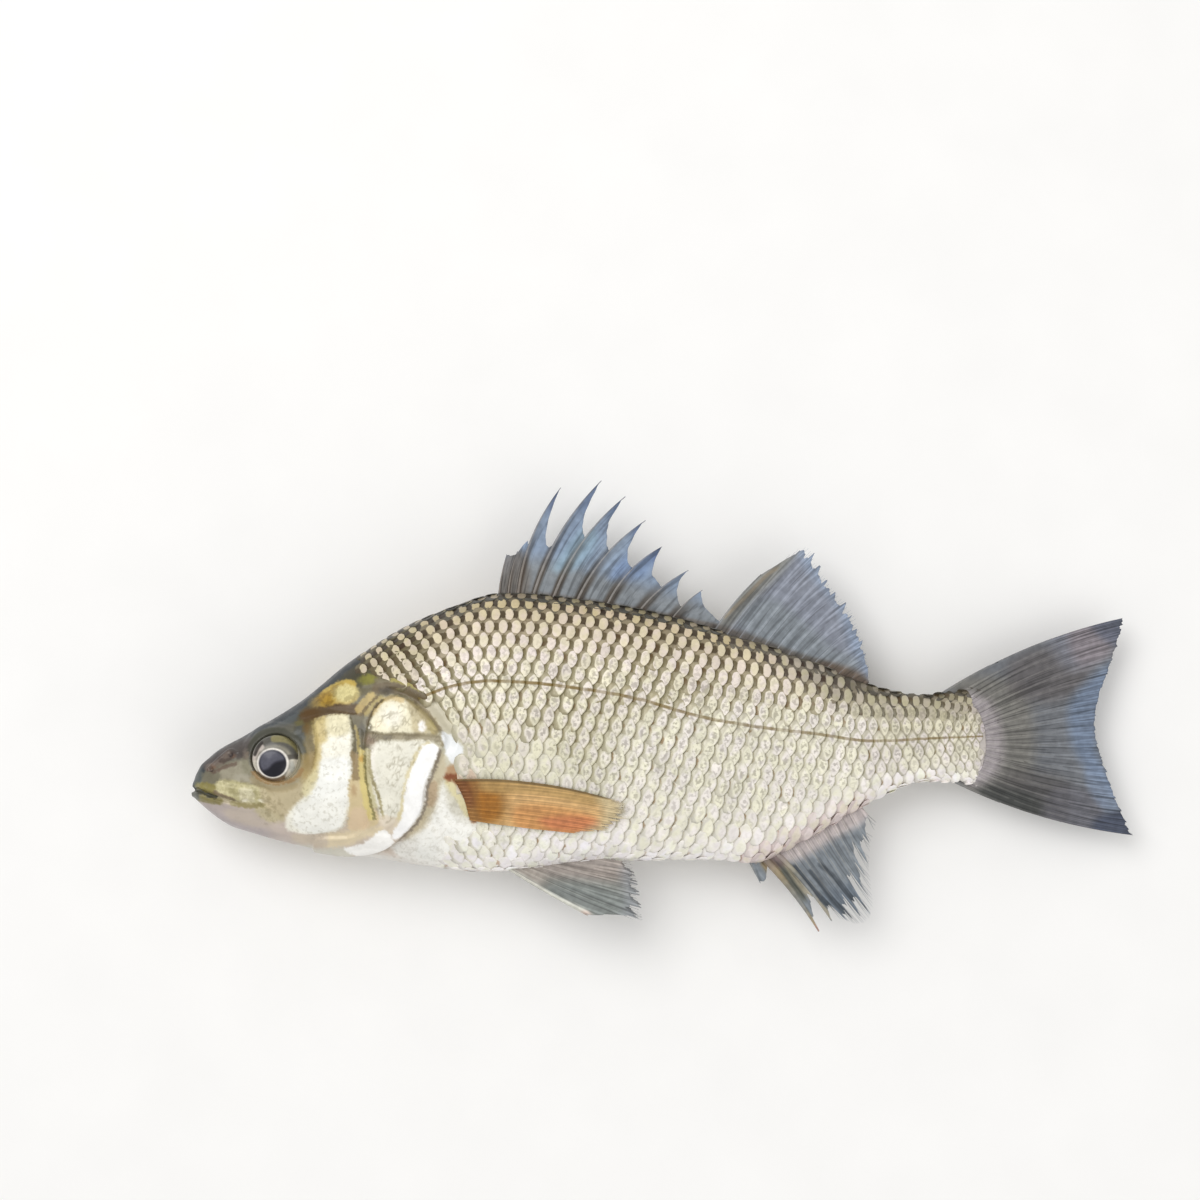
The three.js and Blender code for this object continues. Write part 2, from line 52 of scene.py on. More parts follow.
def toRow(points):
    return (np.asarray(points, float) + toOrigin) / 1000


# Curves and distances.

def smoothLine(knots):  # a smooth function through (x, y) knots that doesn't overshoot
    xs, ys = np.array(knots, float).T
    spans = np.diff(xs)
    rises = np.diff(ys) / spans
    mean = (spans[1:] * rises[:-1] + spans[:-1] * rises[1:]) / (spans[1:] + spans[:-1])
    steepest = 3 * np.minimum(abs(rises[1:]), abs(rises[:-1]))
    inner = np.where(rises[1:] * rises[:-1] <= 0, 0, np.sign(mean) * np.minimum(abs(mean), steepest))
    slopes = np.concatenate([rises[:1], inner, rises[-1:]])

    def at(x):
        x = np.clip(x, xs[0], xs[-1])
        i = np.clip(np.searchsorted(xs, x) - 1, 0, len(xs) - 2)
        t = (x - xs[i]) / spans[i]
        held = ys[i] * (1 + 2 * t) * (1 - t) ** 2 + ys[i + 1] * t * t * (3 - 2 * t)
        return held + spans[i] * (slopes[i] * t * (1 - t) ** 2 - slopes[i + 1] * t * t * (1 - t))
    return at


def curveThrough(knots, closed=False, steps=5):  # centripetal Catmull-Rom, as short straight pieces
    knots = np.array(knots, float)
    if closed:
        padded = np.concatenate([knots[-1:], knots, knots[:2]])
    else:
        padded = np.concatenate([2 * knots[:1] - knots[1:2], knots, 2 * knots[-1:] - knots[-2:-1]])
    t = np.linspace(0, 1, steps, endpoint=False)[:, None]
    curve = []
    for a, b, c, d in zip(padded, padded[1:], padded[2:], padded[3:]):
        before, span, after = (max(math.dist(p, q), 1e-6) ** 0.5 for p, q in ((a, b), (b, c), (c, d)))
        out = ((b - a) / before - (c - a) / (before + span)) * span + c - b
        into = c - b + ((d - c) / after - (d - b) / (span + after)) * span
        curve.append(b + out * t + (3 * (c - b) - 2 * out - into) * t ** 2
                     + (2 * (b - c) + out + into) * t ** 3)
    return np.concatenate(curve + [padded[-2:-1] if not closed else knots[:1]])


def ramp(low, high, value):
    t = np.clip((value - low) / (high - low), 0, 1)
    return t * t * (3 - 2 * t)


def distanceTo(line, x, y):
    nearest = np.full(np.shape(x), 1e9)
    for (ax, ay), (bx, by) in zip(line[:-1], line[1:]):
        dx, dy = bx - ax, by - ay
        along = np.clip(((x - ax) * dx + (y - ay) * dy) / max(dx * dx + dy * dy, 1e-9), 0, 1)
        nearest = np.minimum(nearest, np.hypot(x - ax - along * dx, y - ay - along * dy))
    return nearest


def depthInside(outline, x, y):  # below zero outside
    inside = np.zeros(np.shape(x), bool)
    for (ax, ay), (bx, by) in zip(outline[:-1], outline[1:]):
        if ay != by:
            inside ^= ((ay > y) != (by > y)) & (x < ax + (y - ay) * (bx - ax) / (by - ay))
    return np.where(inside, 1, -1) * distanceTo(outline, x, y)


# Paint. Colours are mixed as they look and stored as light.

def colour(text):
    return np.array([int(text[i:i + 2], 16) for i in (1, 3, 5)]) / 255


def toLight(look):
    look = np.clip(look, 0, 1)
    return np.where(look <= 0.04045, look / 12.92, ((look + 0.055) / 1.055) ** 2.4)


def colourLine(stops):
    shares = [share for share, _ in stops]
    looks = np.array([colour(text) for _, text in stops])
    return lambda share: np.stack([np.interp(share, shares, looks[:, k]) for k in range(3)], axis=-1)


# A stroke is a kind, a colour or number, an amount, a softness in millimetres and a shape: the knots of
# an area, a width and the knots of a line, or a spot's middle and two radii, whose softness is a share.
def paintOver(values, x, y, strokes):
    for kind, paint, amount, soft, shape in strokes:
        if kind == "spot":
            cx, cy, rx, ry = shape
            corners, margin = np.array([[cx - rx, cy - ry], [cx + rx, cy + ry]]), soft * max(rx, ry)
        else:
            width, knots = shape if kind == "line" else (0, shape)
            corners, margin = np.array(knots, float), soft + width + 1
        low, high = corners.min(0) - margin, corners.max(0) + margin
        near = (x > low[0]) & (x < high[0]) & (y > low[1]) & (y < high[1])
        px, py = x[near], y[near]
        if kind == "spot":
            mask = ramp(1 + soft, 1 - soft, np.hypot((px - cx) / rx, (py - cy) / ry))
        elif kind == "line":
            mask = ramp(width / 2 + soft, width / 2, distanceTo(curveThrough(knots), px, py))
        else:
            mask = ramp(-soft / 2, soft / 2, depthInside(curveThrough(knots, closed=True), px, py))
        paint = colour(paint) if isinstance(paint, str) else np.atleast_1d(paint)
        values[near] += (paint - values[near]) * (amount * mask)[:, None]
    return values


def waver(a, b, seed):  # smooth noise from about -1 to 1
    flat = [noise.noise((p, q, seed)) for p, q in zip(np.ravel(a), np.ravel(b))]
    return np.reshape(flat, np.shape(a))


# Meshes.

def facingOut(points, faces):
    volume = 0
    for group in faces:
        for k in range(1, group.shape[1] - 1):
            a, b, c = (points[group[:, i]] for i in (0, k, k + 1))
            volume += np.einsum("ij,ij->", a, np.cross(b, c))
    return faces if volume > 0 else [group[:, ::-1] for group in faces]


def makeMesh(name, points, faces, looks=(), numbers=(), edges=()):
    mesh = bpy.data.meshes.new(name)
    mesh.from_pydata(points.tolist(), list(edges), [face for group in faces for face in group.tolist()])
    for key, look in dict(looks).items():
        light = np.concatenate([toLight(look), np.ones((len(look), 1))], axis=1)
        mesh.attributes.new(key, "FLOAT_COLOR", "POINT").data.foreach_set("color", light.ravel())
    for key, value in dict(numbers).items():
        kind, field = ("FLOAT", "value") if value.ndim == 1 else ("FLOAT_VECTOR", "vector")
        mesh.attributes.new(key, kind, "POINT").data.foreach_set(field, value.ravel().astype(np.float32))
    return mesh


def addPiece(name, mesh, material, replaced="fish"):
    piece = bpy.data.objects.new(name, mesh)
    bpy.context.scene.collection.objects.link(piece)
    mesh.materials.clear()
    mesh.materials.append(material)
    mesh.polygons.foreach_set("material_index", np.zeros(len(mesh.polygons), np.int32))
    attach(piece, "root")
    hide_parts(replaced)
    print(f"{name}: {len(mesh.polygons)} faces")
    return piece


def gridFaces(rows, columns, around=False):  # quads between rows of points, round and shut if around
    i, j = np.meshgrid(np.arange(rows - 1), np.arange(columns - (not around)), indexing="ij")
    a, b = i * columns + j, i * columns + (j + 1) % columns
    return np.stack([a, b, b + columns, a + columns], axis=-1).reshape(-1, 4)


def closedFaces(rows, around):  # a tube of points, shut at both ends on the two points that follow them
    turn = np.arange(around)
    onward, last, tip = (turn + 1) % around, (rows - 1) * around, 0 * turn + rows * around
    caps = [np.stack([tip, onward, turn], axis=1), np.stack([tip + 1, last + turn, last + onward], axis=1)]
    return [gridFaces(rows, around, around=True), *caps]


# Nodes.

def addNode(tree, kind, inputs=(), **settings):
    made = tree.nodes.new(kind)
    for key, value in settings.items():
        setattr(made, key, value)
    for key, value in dict(inputs).items():
        socket = made.inputs[key]
        if isinstance(value, bpy.types.NodeSocket):
            tree.links.new(value, socket)
        else:
            socket.default_value = value
    return made


def attributeOf(tree, name, output="Fac"):
    return addNode(tree, "ShaderNodeAttribute", attribute_name=name).outputs[output]


def partsOf(tree, name):  # the three numbers of a vector attribute
    return addNode(tree, "ShaderNodeSeparateXYZ", {0: attributeOf(tree, name, "Vector")}).outputs


def sumOf(tree, operation, *values):
    return addNode(tree, "ShaderNodeMath", dict(enumerate(values)), operation=operation).outputs[0]


def between(tree, value, low, high, toLow=0.0, toHigh=1.0):
    inputs = {0: value, 1: low, 2: high, 3: toLow, 4: toHigh}
    return addNode(tree, "ShaderNodeMapRange", inputs, interpolation_type="SMOOTHSTEP").outputs[0]


def blendColours(tree, share, below, above, how="MIX"):
    made = addNode(tree, "ShaderNodeMix", {0: share, 6: below, 7: above}, data_type="RGBA", blend_type=how)
    return made.outputs[2]


def grain(tree, scale, detail=2.0, stretch=(1, 1, 1)):
    place = addNode(tree, "ShaderNodeTexCoord").outputs["Object"]
    place = addNode(tree, "ShaderNodeMapping", {0: place, 3: stretch}).outputs[0]
    return addNode(tree, "ShaderNodeTexNoise", {"Vector": place, "Scale": scale, "Detail": detail}).outputs[0]


def light(text):
    return (*toLight(colour(text)), 1)


def newMaterial(name, settings):
    material = bpy.data.materials.new(name)
    material.use_nodes = True
    tree = material.node_tree
    shader = tree.nodes["Principled BSDF"]
    for key, value in settings.items():
        shader.inputs[key].default_value = value
    return material, tree, shader


def mottle(tree, tint, darkest, brightest, *noiseScaleAndDetail):
    shade = between(tree, grain(tree, *noiseScaleAndDetail), 0.3, 0.7, darkest, brightest)
    return blendColours(tree, 1.0, tint, shade, "MULTIPLY")


def finish(tree, shader, tint, rough, patches, bump):  # the bump's scale, detail and height in metres
    tree.links.new(tint, shader.inputs["Base Color"])
    tree.links.new(between(tree, grain(tree, patches), 0.3, 0.7, *rough), shader.inputs["Roughness"])
    height = grain(tree, *bump[:2])
    made = addNode(tree, "ShaderNodeBump", {"Height": height, "Distance": bump[2], "Strength": 0.5})
    tree.links.new(made.outputs[0], shader.inputs["Normal"])


# The camera looks straight down on the upturned left flank.
camera = {"away": 1.25, "frameWide": 0.3066, "middle": (107.4, 42.6, 16), "turned": 4.2}

cameraData = bpy.data.cameras.new("camera")
cameraObject = bpy.data.objects.new("camera", cameraData)
bpy.context.scene.collection.objects.link(cameraObject)
bpy.context.scene.camera = cameraObject
cameraObject.location = toRow(camera["middle"]) + (0, 0, camera["away"])
cameraObject.rotation_euler = (0, 0, -math.radians(camera["turned"]))
cameraData.lens = cameraData.sensor_width * camera["away"] / camera["frameWide"]


# The body: its outline in side view, its thickness, and how full its section is.
body = {
    "restHeight": 15.7, "tailDroop": 7, "droopStart": 140, "underFirstScales": 0.12, "underScales": 0.3,
    "back": smoothLine([(0, 1.6), (0.5, 3.8), (2, 7), (5, 9.8), (15, 15), (30, 22.8), (42, 31.2), (55, 38.3),
                        (70, 43.6), (82, 46), (100, 43.5), (125, 37), (145, 29.5), (165, 20.6), (175, 15.6),
                        (185, 13), (192, 12.2), (199, 12.6), (203, 11.5), (205.5, 8), (207, 3)]),
    "belly": smoothLine([(0, 0.2), (2, -2), (8, -7.3), (15, -10.4), (30, -15.4), (45, -18.8), (60, -22.3),
                         (78, -24.7), (100, -24.2), (120, -24.9), (134, -26), (142, -27.2), (150, -24.7),
                         (170, -15.3), (180, -11), (190, -9.8), (199, -11), (203, -11.2), (205.5, -8.5),
                         (207, -4)]),
    "half": smoothLine([(0, 1), (1.5, 3.6), (5, 5.9), (12, 8.4), (22, 10.7), (35, 13.6), (50, 15.6),
                        (65, 16.4), (80, 16.6), (100, 15.9), (120, 14.1), (140, 11.4), (160, 8.3), (180, 5.6),
                        (192, 4), (199, 2.7), (203, 1.8), (207, 0.7)]),
    "widest": smoothLine([(0, 0.9), (20, 3.5), (45, 4.5), (80, 8), (120, 6), (160, 3), (207, 0.5)]),
    "backFull": smoothLine([(0, 2), (12, 2.3), (30, 2.3), (60, 1.95), (90, 1.8), (150, 1.9), (207, 2)]),
    "bellyFull": smoothLine([(0, 2), (20, 2.1), (60, 2.2), (90, 2.35), (140, 2.1), (207, 2)]),
}


def middleHeight(x):
    t = np.maximum(0, (x - body["droopStart"]) / (240 - body["droopStart"]))
    return body["restHeight"] - body["tailDroop"] * t * t


def bodyPoints(x, angle):  # the angle is 0 on the upturned flank and a right angle on the back
    up, out = np.sin(angle), np.cos(angle)
    full = np.where(up > 0, body["backFull"](x), body["bellyFull"](x))
    reach = np.where(up > 0, body["back"](x), body["belly"](x)) - body["widest"](x)
    y = body["widest"](x) + abs(reach) * np.sign(up) * abs(up) ** (2 / full)
    z = body["half"](x) * np.sign(out) * abs(out) ** (2 / full)
    return np.stack([x + 0 * y, y, middleHeight(x) + z], axis=-1)


def unit(vectors):
    return vectors / np.maximum(np.linalg.norm(vectors, axis=-1, keepdims=True), 1e-9)


def bodyNormals(x, angle):
    along = bodyPoints(x + 0.2, angle) - bodyPoints(np.maximum(x - 0.2, 0), angle)
    around = bodyPoints(x, angle + 0.01) - bodyPoints(x, angle - 0.01)
    return unit(np.cross(along, around))


def flankHeight(x, y):  # of the upturned side, over the middle plane
    above = y > body["widest"](x)
    full = np.where(above, body["backFull"](x), body["bellyFull"](x))
    reach = np.where(above, body["back"](x), body["belly"](x)) - body["widest"](x)
    share = np.clip(abs((y - body["widest"](x)) / reach), 0, 1)
    return body["half"](x) * (1 - share ** full) ** (1 / full)


# The head's plates, folds and openings. Folds are a rise or a fall, a width and the knots of a line.
head = {
    "end": 77, "eye": (22.6, 8.6), "eyeReach": (6.2, 5.9),
    "cheekRise": 0.6, "coverRise": 0.95, "gillSlit": 0.5, "lipRise": 0.25, "mouthDepth": 0.9,
    "jawRise": 0.45, "eyeRim": 0.5, "socketDepth": 1.9, "nostrilRim": 0.12, "nostrilDepth": 0.6,
    "cheek": [(41.5, 18.3), (42.9, 12), (41.8, 5), (40.1, -4), (38.6, -9.2), (34, -11), (26, -10.9), (20, -8),
              (24, -2), (31, 4), (33.3, 11), (33.6, 17.6)],
    "gillCover": [(46, 13), (49.5, 20), (55, 22), (61, 17.5), (64.6, 12.8), (66.2, 10.6), (63.2, 5), (60, -1),
                  (58.5, -7), (54.5, -12), (48.5, -16.3), (40, -17.5), (30, -15.6), (31, -12.5), (41, -12),
                  (45, -8), (45.2, 2)],
    "mouth": [(-1, 1.8), (1.5, 1.9), (5, 0.3), (10, -1.5), (15, -2.7), (19.5, -2.4)],
    "upperJaw": [(4, 2.6), (10, 0.9), (18.5, -0.6)],
    "nostrils": [(10.9, 10.2), (5.6, 6.8)],
    "folds": [
        (-0.3, 1.1, [(61.5, 9.3), (59.3, 7.2), (57.3, 4), (55.6, 0), (54.2, -5), (52, -9.5), (49.5, -12)]),
        (-0.2, 0.9, [(31, -13), (36, -13.6), (41, -13.2), (45, -11.6), (48.5, -11.6)]),
        (0.2, 0.9, [(44.5, 14), (44.4, 8), (44.4, 0), (45, -5), (46.2, -8.5)]),
        (-0.2, 0.8, [(45.4, 9.5), (45.5, 1.5), (46.4, -3.6), (48, -8)]),
        (-0.15, 0.9, [(46, 13), (51, 12.3), (57, 11.8), (64, 11)]),
        (-0.15, 1.0, [(30, 18.8), (36, 19.8), (43.5, 19)]),
        (0.15, 1.5, [(46, 26), (50, 26), (54, 25.2), (58, 23), (61, 21.6)]),
        (-0.2, 0.8, [(19.5, -2.4), (21.5, -5), (22.5, -8.5)]),
        (0.3, 1.5, [(15.4, 12.6), (18.5, 15.6), (23, 16.6), (28, 15.4)]),
        (0.2, 0.5, [(4.8, 6.9), (7.5, 9.3), (11, 11.4), (12.6, 10.8)]),
    ],
}


def relief(x, y):  # what stands proud of the plain body, or is sunk into it
    total = np.zeros(x.shape)
    near = x < head["end"]
    x, y = x[near], y[near]
    cover = depthInside(curveThrough(head["gillCover"], True), x, y)
    cheek = depthInside(curveThrough(head["cheek"], True), x, y)
    fromMouth = distanceTo(curveThrough(head["mouth"]), x, y)
    fromEye = np.hypot((x - head["eye"][0]) / head["eyeReach"][0], (y - head["eye"][1]) / head["eyeReach"][1])
    rise = head["cheekRise"] * ramp(-0.35, 0.5, cheek) * ramp(22, 34, x)
    rise += head["coverRise"] * ramp(-0.3, 0.45, cover)
    rise -= head["gillSlit"] * ramp(-3.5, -0.8, cover) * ramp(0.2, -0.8, cover) * ramp(46, 52, x)
    rise += head["lipRise"] * ramp(2.4, 1.2, fromMouth)
    rise -= head["mouthDepth"] * ramp(0.9, 0.15, fromMouth) * ramp(16, 4, x)
    rise += head["jawRise"] * ramp(2.4, 0.9, distanceTo(curveThrough(head["upperJaw"]), x, y))
    rise += head["eyeRim"] * ramp(1.45, 1.12, fromEye) - head["socketDepth"] * ramp(1.05, 0.97, fromEye)
    for nose in head["nostrils"]:
        away = np.hypot(x - nose[0], y - nose[1])
        rise += head["nostrilRim"] * ramp(1.9, 1.1, away) - head["nostrilDepth"] * ramp(0.8, 0.3, away)
    for height, width, knots in head["folds"]:
        rise += height * ramp(width, 0.25 * width, distanceTo(curveThrough(knots), x, y))
    total[near] = rise
    return total


# Angles round the body for each station, spread evenly over what shows from above.
def spreadAngles(stations, start, end, count, steepShare=0.45):
    fine = np.linspace(start, end, 500)
    step = np.diff(bodyPoints(stations[:, None], fine[None, :]), axis=1)
    length = np.cumsum(abs(step[..., 1]) + steepShare * abs(step[..., 2]) + 1e-4, axis=1)
    length = np.concatenate([np.zeros((len(stations), 1)), length], axis=1)
    shares = np.arange(count) / count
    return np.stack([np.interp(shares * row[-1], row, fine) for row in length])


def skinSheet(stations, topRows, underRows, ends):  # a closed length of skin with a point at both ends
    quarter = math.pi / 2
    angles = np.concatenate([spreadAngles(stations, -quarter, quarter, topRows),
                             spreadAngles(stations, quarter, 3 * quarter, underRows)], axis=1)
    x = np.broadcast_to(stations[:, None], angles.shape)
    drawn = bodyPoints(x, angles)
    rise = relief(drawn[..., 0], drawn[..., 1])
    bare = depthInside(curveThrough(flankPaint["bare"], closed=True), drawn[..., 0], drawn[..., 1])
    first, sunk = body["underFirstScales"], body["underScales"]
    sunk = first + (sunk - first) * ramp(-1, -7, bare)
    rise -= (sunk + rise) * ramp(0.5, -1, bare) * ramp(205, 198, x)
    raised = drawn + bodyNormals(x, angles) * rise[..., None]
    tips = np.array([(tipX, tipY, middleHeight(tipX)) for tipX, tipY in ends])
    points = np.concatenate([raised.reshape(-1, 3), tips])
    points[:, 2] = np.maximum(points[:, 2], 0)  # the flank it lies on is pressed flat
    drawn = np.concatenate([drawn.reshape(-1, 3), tips])
    faces = facingOut(points, closedFaces(len(stations), topRows + underRows))
    return points, drawn[:, 0], drawn[:, 1], faces


